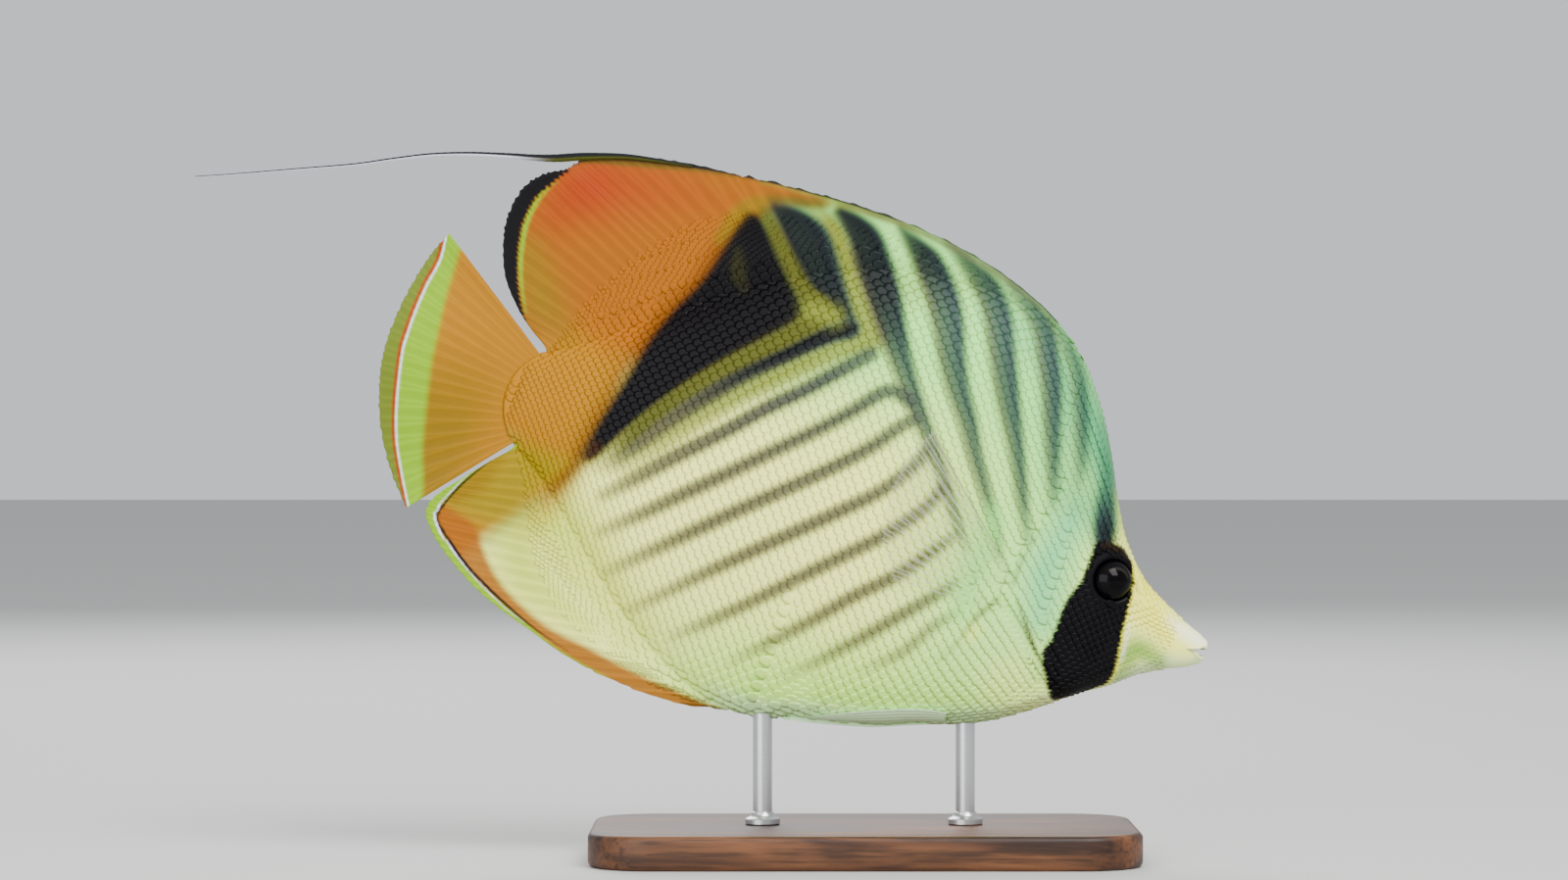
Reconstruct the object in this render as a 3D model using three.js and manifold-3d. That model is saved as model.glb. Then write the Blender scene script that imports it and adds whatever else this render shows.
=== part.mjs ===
// A threadfin butterflyfish at life size, swimming head down, held by a plain two-rod display stand.
// The fish is drawn in its own frame: x forward from the snout tip, y to its left, z up from its axis.
// Points on the fish are percentages of its standard length: [behind the snout tip, above the axis].
// The whole fish is then tipped head down over the stand, whose underside is z = 0.
import * as THREE from "three";
import { mergeVertices } from "three/addons/utils/BufferGeometryUtils.js";
import Module from "manifold-3d";

const wasm = await Module();
wasm.setup();

// Driving dimensions, in millimetres and degrees.
const standardLength = 148;
const headDownAngle = THREE.MathUtils.degToRad(20.3);
const bellyClearance = 27;
const gap = 0.3;
const leastThickness = 0.5;

const baseSize = { length: 112, width: 62, height: 7, cornerRadius: 13, edgeBevel: 1.2 };
const rod = { radius: 2, spacing: 41.6, collarRadius: 3.6, collarHeight: 2.4, sides: 18 };
const snoutAheadOfBaseCentre = 0.475 * standardLength;

// Fin formula of the species.
const dorsalSpineCount = 13;
const dorsalRayCount = 23;
const analSpineCount = 3;
const analRayCount = 20;
const caudalRayCount = 17;
const pectoralRayCount = 15;
const pelvicRayCount = 6;

const percent = standardLength / 100;

// Side outlines of the trunk without its fins.
const backPoints = [
  [0, 0.35], [0.7, 1.15], [1.6, 1.65], [2.7, 2.0], [5.4, 3.0], [8.1, 4.2], [10.8, 5.6], [13.5, 8.0], [16.2, 11.1],
  [18.9, 15.6], [21.6, 20.6], [24.3, 24.9], [27, 28.4], [29.7, 31.4], [33, 33.5], [38, 35.0], [43, 35.6], [48, 35.6],
  [54, 34.9], [60, 33.3], [66, 30.9], [72, 27.6], [78, 23.6], [84, 19.1], [90, 14.0], [95, 9.8], [100, 6.5],
];
const bellyPoints = [
  [0, -1.6], [0.7, -2.5], [1.6, -3.2], [2.7, -3.8], [5.4, -5.1], [8.1, -6.9], [10.8, -9.3], [13.5, -11.2],
  [16.2, -13.3], [18.9, -15.5], [21.6, -17.5], [24.3, -19.3], [27, -20.7], [30, -21.9], [34, -23.3], [38, -25.0],
  [42, -26.4], [46, -27.6], [50, -28.5], [54, -29.8], [57, -30.4], [61, -30.2], [65, -29.2], [70, -27.1],
  [75, -24.4], [80, -21.0], [85, -17.1], [90, -12.9], [95, -9.0], [100, -6.2],
];
const halfWidthPoints = [
  [0, 0.9], [0.7, 1.5], [2, 2.0], [5, 2.5], [8, 3.0], [11, 3.8], [14, 4.8], [17, 5.6], [21, 6.5], [25, 7.3],
  [30, 8.0], [36, 8.3], [45, 8.2], [55, 7.5], [65, 6.4], [75, 5.0], [85, 3.6], [92, 2.6], [100, 1.6],
];
// Height of the widest line of each cross section.
const waistPoints = [
  [0, -0.6], [8, -1.0], [13, 0.3], [18, 0.8], [25, 0], [35, -2.2], [50, -1.6], [70, 0], [100, 0.2],
];
// Exponents of the cross section: under 1 a blunt ridge, over 1 a sharp one.
const backSharpness = [[0, 0.9], [15, 0.8], [25, 0.95], [35, 1.2], [60, 1.3], [85, 1.2], [100, 0.9]];
const bellySharpness = [[0, 0.9], [20, 0.8], [40, 0.9], [57, 1.15], [85, 1.2], [100, 0.9]];
// Half thickness of the ridge that carries a fin.
const backRidgePoints = [[0, 0], [27, 0.1], [34, 0.75], [90, 0.65], [100, 0.5]];
const bellyRidgePoints = [[0, 0], [52, 0.1], [58, 0.75], [90, 0.65], [100, 0.5]];

// Height of a smooth curve through points whose first numbers rise, for any place along it.
function profile(points) {
  const curve = new THREE.SplineCurve(points.map(([x, y]) => new THREE.Vector2(x, y)));
  const samples = curve.getPoints(points.length * 12);
  return (x) => {
    if (x <= samples[0].x) return samples[0].y;
    let low = 0;
    let high = samples.length - 1;
    if (x >= samples[high].x) return samples[high].y;
    while (high - low > 1) {
      const middle = (low + high) >> 1;
      if (samples[middle].x > x) high = middle;
      else low = middle;
    }
    const share = (x - samples[low].x) / (samples[high].x - samples[low].x);
    return THREE.MathUtils.lerp(samples[low].y, samples[high].y, share);
  };
}

const back = profile(backPoints);
const belly = profile(bellyPoints);
const halfWidth = profile(halfWidthPoints);
const waist = profile(waistPoints);
const sharpnessOfBack = profile(backSharpness);
const sharpnessOfBelly = profile(bellySharpness);
const backRidge = profile(backRidgePoints);
const bellyRidge = profile(bellyRidgePoints);

// Half width of a cross section at the angle whose cosine is given, in percent of standard length.
function sectionWidth(behind, sideways, above) {
  const ridge = above ? backRidge(behind) : bellyRidge(behind);
  const sharpness = above ? sharpnessOfBack(behind) : sharpnessOfBelly(behind);
  return ridge * sideways ** 0.5 + (halfWidth(behind) - ridge) * sideways ** sharpness;
}

// Half width of the trunk in millimetres at a place on its side, 0 off its outline.
function flank(behind, up) {
  const middle = waist(behind);
  const above = up > middle;
  const height = above ? back(behind) - middle : middle - belly(behind);
  const rise = Math.min(1, Math.abs(up - middle) / height);
  return sectionWidth(behind, Math.sqrt(1 - rise * rise), above) * percent;
}

const onFish = (behind, up, y = 0) => new THREE.Vector3(-behind * percent, y, up * percent);

function geometryFrom(positions, indices) {
  const geometry = new THREE.BufferGeometry();
  geometry.setAttribute("position", new THREE.Float32BufferAttribute(positions, 3));
  geometry.setIndex(indices);
  return geometry;
}

function solidOf(geometry) {
  const bare = geometry.index ? geometry.toNonIndexed() : geometry.clone();
  bare.deleteAttribute("normal");
  bare.deleteAttribute("uv");
  const merged = mergeVertices(bare, 1e-4);
  const mesh = new wasm.Mesh({
    numProp: 3,
    vertProperties: new Float32Array(merged.attributes.position.array),
    triVerts: new Uint32Array(merged.index.array),
  });
  return new wasm.Manifold(mesh);
}

// A solid from a closed mesh whose faces may all be turned inwards.
function solidFacingOut(positions, indices) {
  const solid = solidOf(geometryFrom(positions, indices));
  return solid.volume() < 0 ? solidOf(geometryFrom(positions, indices.reverse())) : solid;
}

function geometryOf(solid) {
  const mesh = solid.getMesh();
  return geometryFrom(Array.from(mesh.vertProperties), Array.from(mesh.triVerts));
}

const largestPiece = (solid) =>
  solid.decompose().reduce((best, piece) => (piece.volume() > best.volume() ? piece : best));

// The trunk from snout to tail root, grown outwards by a number of millimetres.
const sectionSides = 32;
const sectionCount = 36;
function trunkLoft(grow = 0) {
  const positions = [];
  const indices = [];
  const extra = grow / percent;
  for (let i = 0; i <= sectionCount; i++) {
    const t = i / sectionCount;
    const behind = 100 * (0.4 * t + 0.6 * t ** 1.7);
    const reach = i === 0 ? -extra : i === sectionCount ? extra : 0;
    for (let j = 0; j < sectionSides; j++) {
      const angle = (2 * Math.PI * j) / sectionSides;
      const rise = Math.sin(angle);
      const sideways = Math.abs(Math.cos(angle));
      const above = rise > 0;
      const edge = above ? back(behind) + extra : belly(behind) - extra;
      const up = waist(behind) + Math.abs(rise) * (edge - waist(behind));
      const width = sectionWidth(behind, sideways, above) + extra * Math.sqrt(sideways);
      const y = Math.abs(rise) === 1 ? 0 : Math.sign(Math.cos(angle)) * width;
      positions.push(-(behind + reach) * percent, y * percent, up * percent);
    }
  }
  for (let i = 0; i < sectionCount; i++) {
    for (let j = 0; j < sectionSides; j++) {
      const a = i * sectionSides + j;
      const b = i * sectionSides + ((j + 1) % sectionSides);
      indices.push(a, a + sectionSides, b, b, a + sectionSides, b + sectionSides);
    }
  }
  const ends = [[0, -extra, -1], [sectionCount, 100 + extra, 1]];
  for (const [row, behind, facing] of ends) {
    const pole = positions.length / 3;
    positions.push(-behind * percent, 0, waist(THREE.MathUtils.clamp(behind, 0, 100)) * percent);
    for (let j = 0; j < sectionSides; j++) {
      const a = row * sectionSides + j;
      const b = row * sectionSides + ((j + 1) % sectionSides);
      if (facing < 0) indices.push(pole, a, b);
      else indices.push(pole, b, a);
    }
  }
  return solidOf(geometryFrom(positions, indices));
}

// A plate wider than the fish, cut to a side outline.
function sideRegion(points) {
  const depth = 80;
  const shape = new THREE.Shape(points.map(([behind, up]) => new THREE.Vector2(-behind * percent, up * percent)));
  const geometry = new THREE.ExtrudeGeometry(shape, { depth, bevelEnabled: false });
  geometry.rotateX(Math.PI / 2);
  geometry.translate(0, depth / 2, 0);
  return solidOf(geometry);
}

// A thin plate over a grid of points. Row 0 is its root, columns run across its rays, and both faces
// are split alike. `point` gives the middle of the plate and `half` its half thickness in millimetres.
function platedGrid(columns, rows, point, half) {
  const faces = [[], []];
  for (let i = 0; i <= rows; i++) {
    for (let j = 0; j <= columns; j++) {
      const across = j / columns;
      const out = i / rows;
      const middle = point(across, out, j);
      const offset = new THREE.Vector3(0, Math.max(leastThickness / 2, half(across, out, j)), 0);
      faces[0].push(middle.clone().add(offset));
      faces[1].push(middle.clone().sub(offset));
    }
  }
  const vertices = [...faces[0], ...faces[1]];
  const other = faces[0].length;
  const at = (i, j) => i * (columns + 1) + j;
  const indices = [];
  const quad = (a, b, c, d) => indices.push(a, b, c, a, c, d);
  for (let i = 0; i < rows; i++) {
    for (let j = 0; j < columns; j++) {
      const [a, b, c, d] = [at(i, j), at(i, j + 1), at(i + 1, j + 1), at(i + 1, j)];
      indices.push(a, b, c, a, c, d);
      indices.push(other + a, other + c, other + b, other + a, other + d, other + c);
    }
  }
  for (let j = 0; j < columns; j++) {
    quad(at(0, j), other + at(0, j), other + at(0, j + 1), at(0, j + 1));
    quad(at(rows, j + 1), other + at(rows, j + 1), other + at(rows, j), at(rows, j));
  }
  for (let i = 0; i < rows; i++) {
    quad(at(i + 1, 0), other + at(i + 1, 0), other + at(i, 0), at(i, 0));
    quad(at(i, columns), other + at(i, columns), other + at(i + 1, columns), at(i + 1, columns));
  }
  return solidFacingOut(vertices.flatMap((vertex) => vertex.toArray()), indices);
}

// A closed outline moved outwards by a distance along its normals.
function outset(points, distance) {
  const shape = points.map(([x, y]) => new THREE.Vector2(x, y));
  const turn = Math.sign(THREE.ShapeUtils.area(shape));
  return shape.map((point, i) => {
    const before = shape[(i + shape.length - 1) % shape.length];
    const after = shape[(i + 1) % shape.length];
    const along = after.clone().sub(before).normalize();
    return [point.x + turn * along.y * distance, point.y - turn * along.x * distance];
  });
}

const splineOf = (points) => new THREE.SplineCurve(points.map(([x, y]) => new THREE.Vector2(x, y)));

// Ridge height share of a ray that splits in two beyond its middle, over the four strips of the ray.
function splitRidge(strip, out) {
  if (strip === 0) return 0;
  return strip === 2 && out > 0.5 ? 0.35 : 1;
}

// A fin in the fish's middle plane. Rays or spines run from the root curve to the margin curve as
// ridges, `toothed` lets each reach past the membrane, and `wave` bends the margin sideways.
function medianFin(fin) {
  const { root, margin, rays, rows, rootHalf, marginHalf, ridge, toothed = 0, branched = false, wave = 0 } = fin;
  const perRay = branched ? 4 : 2;
  const rootCurve = splineOf(root);
  const marginCurve = splineOf(margin);
  const stretch = (j) => (j % perRay === 0 ? 0 : toothed);
  const point = (across, out, j) => {
    const from = rootCurve.getPoint(across);
    const to = marginCurve.getPoint(across);
    const reach = out * (1 + stretch(j) * out);
    const flat = from.clone().lerp(to, reach);
    const sway = wave * out * out * Math.sin(across * Math.PI * 2.6 + 0.4);
    return onFish(flat.x, flat.y, sway);
  };
  const half = (across, out, j) => {
    const strip = j % perRay;
    const raised = branched ? splitRidge(strip, out) : strip;
    return THREE.MathUtils.lerp(rootHalf, marginHalf, out) + raised * ridge * (1 - 0.75 * out);
  };
  return platedGrid(rays * perRay, rows, point, half);
}

// Round bar of changing radius along a smooth path through 3-D points.
function taperedBar(points, radii, steps, sides) {
  const path = new THREE.CatmullRomCurve3(points);
  const radiusAt = profile(radii);
  const frames = path.computeFrenetFrames(steps, false);
  const positions = [];
  const indices = [];
  for (let i = 0; i <= steps; i++) {
    const centre = path.getPointAt(i / steps);
    for (let j = 0; j < sides; j++) {
      const angle = (2 * Math.PI * j) / sides;
      const spoke = frames.normals[i].clone().multiplyScalar(Math.cos(angle));
      spoke.addScaledVector(frames.binormals[i], Math.sin(angle));
      positions.push(...centre.clone().addScaledVector(spoke, radiusAt(i / steps)).toArray());
    }
  }
  for (let i = 0; i < steps; i++) {
    for (let j = 0; j < sides; j++) {
      const a = i * sides + j;
      const b = i * sides + ((j + 1) % sides);
      indices.push(a, b, b + sides, a, b + sides, a + sides);
    }
  }
  const last = steps * sides;
  for (let j = 1; j < sides - 1; j++) {
    indices.push(0, j + 1, j, last, last + j, last + j + 1);
  }
  return solidFacingOut(positions, indices);
}

// Outward direction of the fish's side at a place, for the left side or, with side = -1, the right.
function flankNormal(behind, up, side) {
  const step = 0.4;
  const place = (b, u) => onFish(b, u, flank(b, u));
  const alongBody = place(behind - step, up).sub(place(behind + step, up));
  const upBody = place(behind, up + step).sub(place(behind, up - step));
  const normal = upBody.cross(alongBody).normalize();
  if (normal.y < 0) normal.negate();
  return new THREE.Vector3(normal.x, normal.y * side, normal.z);
}

const turnedTo = (geometry, direction) =>
  geometry.applyQuaternion(new THREE.Quaternion().setFromUnitVectors(new THREE.Vector3(0, 0, 1), direction));

const wholeTrunk = trunkLoft();
const clearedTrunk = trunkLoft(gap);

// Places well off the fish, for cuts that pass right through it.
const off = { ahead: -8, behind: 104, above: 44, below: -44, underThroat: -20 };

// Rear edge of the head: over the nape, down the gill cover and forward under the throat.
const gillEdge = [
  [25.4, off.above], [25.7, 30], [25.9, 21], [26.3, 13.5], [27.4, 8], [28.6, 3], [29.0, -0.4], [28.4, -2.6],
  [26.0, -4.9], [23.4, -7.4], [19.9, -11.1], [17.6, -14.0], [15.8, off.underThroat],
];
const gillEdgeCurve = splineOf(gillEdge).getPoints(36).map((p) => [p.x, p.y]);
const preopercleEdge = [[25.0, 13.2], [23.4, 9], [22.7, 4], [22.6, -1], [21.8, -5], [19.8, -8.6], [18.4, -10.2]];
const preopercleCurve = splineOf(preopercleEdge).getPoints(14).map((p) => [p.x, p.y]);
const tailCut = [91.2, 90.2];

const headRegion = sideRegion([...gillEdgeCurve, [off.ahead, off.underThroat], [off.ahead, off.above]]);
const trunkCutBack = 0.45 / percent;
const trunkRegion = sideRegion([
  ...gillEdgeCurve.map(([b, u]) => [b + trunkCutBack, u]),
  [tailCut[1], off.below],
  [tailCut[0], off.above],
]);
const peduncleRegion = sideRegion([
  [tailCut[0] + gap / percent, off.above],
  [tailCut[1] + gap / percent, off.below],
  [off.behind, off.below],
  [off.behind, off.above],
]);

// Gill covers: plates lying slightly proud in a pocket of the head, open at their rear edge.
const gillCover = { proud: 0.35, thickness: 1.7, pocketReach: 3 };
const coverRear = gillEdgeCurve.filter(([, up]) => up < 13.6 && up > -12.6);
const coverOutline = [...coverRear, ...preopercleCurve.slice().reverse()];
const pocketOutline = outset(coverOutline, (1.3 * gap) / percent);
const coverShell = trunkLoft(gillCover.proud).subtract(trunkLoft(gillCover.proud - gillCover.thickness));
const pocketShell = trunkLoft(gillCover.pocketReach).subtract(
  trunkLoft(gillCover.proud - gillCover.thickness - gap),
);
// All of one side of the fish but a narrow strip along its middle plane.
const halfSpace = (side) => {
  const width = 60;
  const strip = 1.5;
  const box = new THREE.BoxGeometry(4 * standardLength, width, 4 * standardLength);
  return solidOf(box.translate(0, side * (width / 2 + strip), 0));
};
const gillCoverOf = (side) =>
  largestPiece(coverShell.intersect(sideRegion(coverOutline)).intersect(halfSpace(side)));

// Eyes sit in sockets with a low rim.
const eye = { at: [15.6, 4.5], radius: 4.3, depth: 3.2, sunk: 1.3, rim: 0.42 };
function eyeball(side, grow) {
  const [behind, up] = eye.at;
  const outward = flankNormal(behind, up, side);
  const geometry = new THREE.SphereGeometry(1, 18, 8).rotateX(Math.PI / 2);
  geometry.scale(eye.radius + grow, eye.radius + grow, eye.depth + grow);
  turnedTo(geometry, outward);
  const centre = onFish(behind, up, side * flank(behind, up)).addScaledVector(outward, -eye.sunk);
  geometry.translate(...centre.toArray());
  return solidOf(geometry);
}
function eyeRim(side) {
  const [behind, up] = eye.at;
  const outward = flankNormal(behind, up, side);
  const geometry = turnedTo(new THREE.TorusGeometry(eye.radius + 0.35, eye.rim, 5, 18), outward);
  const centre = onFish(behind, up, side * flank(behind, up)).addScaledVector(outward, -0.1);
  return solidOf(geometry.translate(...centre.toArray()));
}

// Two nostrils a side, each a pit with a raised rim.
const nostrils = [{ at: [11.4, 3.9], radius: 0.42 }, { at: [10.1, 3.3], radius: 0.34 }];
function nostrilParts(side) {
  return nostrils.map(({ at: [behind, up], radius }) => {
    const outward = flankNormal(behind, up, side);
    const centre = onFish(behind, up, side * flank(behind, up));
    const rim = turnedTo(new THREE.TorusGeometry(radius + 0.15, 0.2, 4, 8), outward);
    const pit = new THREE.CylinderGeometry(radius, radius * 0.6, 2, 6).rotateX(Math.PI / 2);
    turnedTo(pit, outward);
    return {
      rim: solidOf(rim.translate(...centre.toArray())),
      pit: solidOf(pit.translate(...centre.toArray())),
    };
  });
}

// Lips: a bar round the snout above and below the mouth, from one corner to the other.
const mouth = { corner: [2.4, -1.0], upperFront: [-0.6, 0.3], lowerFront: [-0.6, -1.05], lipRadius: 0.5 };
function lip(rise) {
  const backwards = [2.7, 1.7, 0.9, 0.35];
  const height = (behind) => THREE.MathUtils.lerp(-0.65 + rise, -0.9 + 0.25 * rise, behind / 2.7);
  const side = (sign) =>
    backwards.map((behind) => onFish(behind, height(behind), sign * (flank(behind, height(behind)) - 0.2)));
  const front = onFish(0.05, height(0), 0);
  const points = [...side(1), front, ...side(-1).reverse()];
  const radii = [[0, 0.25], [0.2, mouth.lipRadius], [0.8, mouth.lipRadius], [1, 0.25]];
  return taperedBar(points, radii, 16, 6);
}

function headSolid() {
  const sides = [1, -1];
  const raised = [lip(1.1), lip(-1.15), ...sides.map(eyeRim)];
  const sunk = [sideRegion([mouth.corner, mouth.upperFront, mouth.lowerFront])];
  for (const side of sides) {
    sunk.push(eyeball(side, gap));
    sunk.push(pocketShell.intersect(sideRegion(pocketOutline)).intersect(halfSpace(side)));
    for (const nostril of nostrilParts(side)) {
      raised.push(nostril.rim);
      sunk.push(nostril.pit);
    }
  }
  let head = wholeTrunk.intersect(headRegion);
  for (const piece of raised) head = head.add(piece);
  for (const piece of sunk) head = head.subtract(piece);
  return largestPiece(head);
}

// Median fins. Roots start inside the trunk and are cut back to its surface.
const rootSink = 1.2;
const sunkRoot = (edge, sign, from, to, count) =>
  Array.from({ length: count }, (_, i) => {
    const behind = THREE.MathUtils.lerp(from, to, i / (count - 1));
    return [behind, edge(behind) - sign * rootSink];
  });
const cutToTrunk = (fin) => largestPiece(fin.subtract(clearedTrunk));

// The prolonged soft rays that run along the top edge and trail behind as a thread.
const threadPoints = [
  [90, 38.1, 0], [95, 37.1, 0], [99.5, 36.0, 0], [104.4, 34.2, 0], [108.3, 32.5, 0], [111.3, 31.5, 0.1],
  [114.5, 30.6, 0.3], [119.6, 29.0, 0.8], [124.7, 27.0, 1.4], [129.5, 24.6, 2.0], [134.4, 22.0, 2.6],
  [141.8, 18.6, 3.3], [149.2, 15.2, 3.8], [154.6, 12.8, 4.0],
];
const threadRadii = [[0, 0.3], [0.12, 0.62], [0.25, 0.95], [0.33, 0.72], [0.42, 0.52], [0.6, 0.38], [1, 0.25]];
const threadBar = (grow) => {
  const steps = 28;
  const sides = 6;
  const path = threadPoints.map(([behind, up, y]) => onFish(behind, up, y));
  return taperedBar(path, threadRadii.map(([along, radius]) => [along, radius + grow]), steps, sides);
};

// The spines of the front part are folded back, and the soft rays behind them stand out further.
const spinyEnd = 70;
function dorsalFin() {
  const spines = medianFin({
    root: sunkRoot(back, 1, 31, spinyEnd, 14),
    margin: [
      [34.2, 34.9], [37, 36.4], [40, 37.6], [44, 38.9], [48.4, 39.9], [53, 40.6], [58, 41.0], [63, 41.1],
      [68, 40.9], [72, 40.6], [76, 40.2], [80, 39.8], [83.6, 39.2],
    ],
    rays: dorsalSpineCount, rows: 3, rootHalf: 0.8, marginHalf: 0.32, ridge: 0.45, toothed: 0.035,
  });
  const rays = medianFin({
    root: sunkRoot(back, 1, spinyEnd - 0.4, 99.8, 12),
    margin: [
      [83.2, 39.1], [90.5, 38.3], [98, 36.7], [103.6, 34.8], [105.4, 32.8], [106.5, 31.5], [109, 29.9],
      [111.0, 27.2], [111.7, 23.3], [111.2, 19.6], [109.2, 14.8], [106.0, 11.2], [103.0, 8.9], [100.4, 7.5],
    ],
    rays: dorsalRayCount, rows: 4, rootHalf: 0.8, marginHalf: 0.3, ridge: 0.3, toothed: 0.006, wave: 0.6,
  });
  return largestPiece(cutToTrunk(spines.add(rays)).subtract(threadBar(gap)));
}

function analFin() {
  const spines = medianFin({
    root: sunkRoot(belly, -1, 57, 64.6, 4),
    margin: [[64.2, -32.3], [69.5, -32.8], [75, -32.75], [80, -32.35]],
    rays: analSpineCount, rows: 3, rootHalf: 0.85, marginHalf: 0.35, ridge: 0.55, toothed: 0.07,
  });
  const rays = medianFin({
    root: sunkRoot(belly, -1, 64.5, 99.6, 12),
    margin: [
      [79.9, -32.3], [84.5, -31.4], [89, -30.1], [93.5, -28.9], [98, -27.3], [102.2, -25.1], [105.6, -22.8],
      [107.9, -20.4], [108.2, -18.6], [107.3, -16.6], [105.9, -14.7], [103.9, -12.2], [101.9, -9.7], [99.9, -7.5],
    ],
    rays: analRayCount, rows: 4, rootHalf: 0.8, marginHalf: 0.3, ridge: 0.3, toothed: 0.004, wave: -0.6,
  });
  return cutToTrunk(spines.add(rays));
}

const caudalFin = () =>
  medianFin({
    root: [[99.2, 5.2], [99.4, 3.2], [99.5, 0], [99.4, -3.2], [99.2, -5.4]],
    margin: [
      [118.5, 17.6], [119.9, 14.1], [120.9, 9.4], [121.4, 4.6], [121.3, -0.6], [120.3, -5.3], [118.1, -10.9],
      [114.8, -16.0], [110.9, -20.2],
    ],
    rays: caudalRayCount, rows: 4, rootHalf: 1.3, marginHalf: 0.28, ridge: 0.24, branched: true, wave: 1.1,
  });

// Paired fins lie close along the flank. The plate stands off the skin by `clear`, more towards its margin.
function pairedFin({ side, root, margin, rays, rows, rootHalf, marginHalf, ridge, clear, lift }) {
  const rootCurve = splineOf(root);
  const marginCurve = splineOf(margin);
  const point = (across, out) => {
    const flat = rootCurve.getPoint(across).clone().lerp(marginCurve.getPoint(across), out);
    const standing = THREE.MathUtils.lerp(-rootHalf, clear, Math.min(1, out * 4));
    return onFish(flat.x, flat.y, side * (flank(flat.x, flat.y) + standing + lift * out ** 1.4));
  };
  const half = (across, out, j) =>
    THREE.MathUtils.lerp(rootHalf, marginHalf, Math.min(1, out * 1.6)) + (j % 2) * ridge * (1 - 0.7 * out);
  const trimmed = platedGrid(rays * 2, rows, point, half).subtract(clearedTrunk);
  return largestPiece(trimmed);
}

const pectoralFin = (side) =>
  pairedFin({
    side,
    root: [[29.2, 0.2], [29.9, -1.4], [30.9, -3.4], [31.9, -5.4]],
    margin: [[46.3, 15.0], [47.9, 11.6], [48.7, 7.2], [48.6, 2.4], [47.2, -2.2], [44.2, -6.0]],
    rays: pectoralRayCount, rows: 4, rootHalf: 0.7, marginHalf: 0.27, ridge: 0.2, clear: 0.65, lift: 1.5,
  });

// The pelvic fins are folded back along the keel of the belly, one on each side of it.
const pelvicFin = (side) => {
  const lower = [[30.6, -22.4], [35, -24.2], [39.7, -26.2], [44.9, -27.8], [48.6, -28.8], [51.6, -29.5]];
  const upper = [[30.9, -20.6], [35, -21.6], [40, -23.6], [44.9, -26.0], [48.8, -28.0], [51.8, -29.2]];
  const lowerCurve = splineOf(lower);
  const upperCurve = splineOf(upper);
  const point = (across, out) => {
    const flat = lowerCurve.getPoint(out).clone().lerp(upperCurve.getPoint(out), across);
    return onFish(flat.x, flat.y, side * Math.max(flank(flat.x, flat.y) + 0.8, 0.95));
  };
  const half = (across, out, j) => THREE.MathUtils.lerp(0.6, 0.3, out) + (j % 2) * 0.25 * (1 - 0.6 * out);
  const plate = platedGrid(pelvicRayCount * 2, 7, point, half);
  return largestPiece(plate.subtract(clearedTrunk));
};

// Stand: a flat base and two rods whose tops are cut to the belly.
const lowestOfBelly = Math.min(
  ...Array.from({ length: 101 }, (_, behind) => {
    const below = belly(behind) * percent * Math.cos(headDownAngle);
    return below + behind * percent * Math.sin(headDownAngle);
  }),
);
const finDropBelowBelly = 0.9;
const fish = new THREE.Group();
fish.rotation.y = headDownAngle;
fish.position.set(snoutAheadOfBaseCentre, 0, bellyClearance + finDropBelowBelly - lowestOfBelly);
fish.updateMatrixWorld(true);

function baseGeometry() {
  const { length, width, height, cornerRadius, edgeBevel } = baseSize;
  const [x, y, r] = [length / 2 - edgeBevel, width / 2 - edgeBevel, cornerRadius - edgeBevel];
  const shape = new THREE.Shape();
  shape.moveTo(-x + r, -y);
  shape.lineTo(x - r, -y);
  shape.absarc(x - r, -y + r, r, -Math.PI / 2, 0);
  shape.absarc(x - r, y - r, r, 0, Math.PI / 2);
  shape.absarc(-x + r, y - r, r, Math.PI / 2, Math.PI);
  shape.absarc(-x + r, -y + r, r, Math.PI, (3 * Math.PI) / 2);
  return new THREE.ExtrudeGeometry(shape, {
    depth: height - 2 * edgeBevel,
    bevelThickness: edgeBevel,
    bevelSize: edgeBevel,
    bevelSegments: 2,
    curveSegments: 4,
  }).translate(0, 0, edgeBevel);
}

function rodSolid(x) {
  const foot = baseSize.height + gap;
  // Long enough to reach into the trunk, which then cuts it.
  const shaftLength = 60;
  const shaft = new THREE.CylinderGeometry(rod.radius, rod.radius, shaftLength, rod.sides);
  shaft.rotateX(Math.PI / 2).translate(x, 0, foot + shaftLength / 2);
  const collarProfile = [
    [0, 0], [rod.collarRadius, 0], [rod.collarRadius, rod.collarHeight * 0.6], [rod.radius + 0.3, rod.collarHeight],
    [0, rod.collarHeight],
  ];
  const collar = new THREE.LatheGeometry(collarProfile.map(([r, z]) => new THREE.Vector2(r, z)), rod.sides);
  collar.rotateX(Math.PI / 2).translate(x, 0, foot);
  const whole = solidOf(shaft).add(solidOf(collar));
  const cut = whole.subtract(solidOf(geometryOf(clearedTrunk).applyMatrix4(fish.matrixWorld)));
  return cut.decompose().reduce((low, piece) =>
    piece.boundingBox().min[2] < low.boundingBox().min[2] ? piece : low);
}

// Materials, as the real surfaces look.
const finish = (color, roughness, metalness = 0) => new THREE.MeshStandardMaterial({ color, roughness, metalness });
const materials = {
  skin: finish(0xe6e4c8, 0.45),
  tailSkin: finish(0xf0a818, 0.45),
  dorsal: finish(0xe88a12, 0.5),
  thread: finish(0x2b2c33, 0.5),
  anal: finish(0xe0a020, 0.5),
  caudal: finish(0xe0b010, 0.5),
  clearFin: finish(0xd8dcc8, 0.35),
  eye: finish(0x0a0708, 0.1),
  wood: finish(0x3a2418, 0.4),
  steel: finish(0xb8b8ba, 0.3, 1),
};

const add = (parent, name, solid, material) => {
  const mesh = new THREE.Mesh(geometryOf(solid), material);
  mesh.name = name;
  parent.add(mesh);
};

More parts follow.
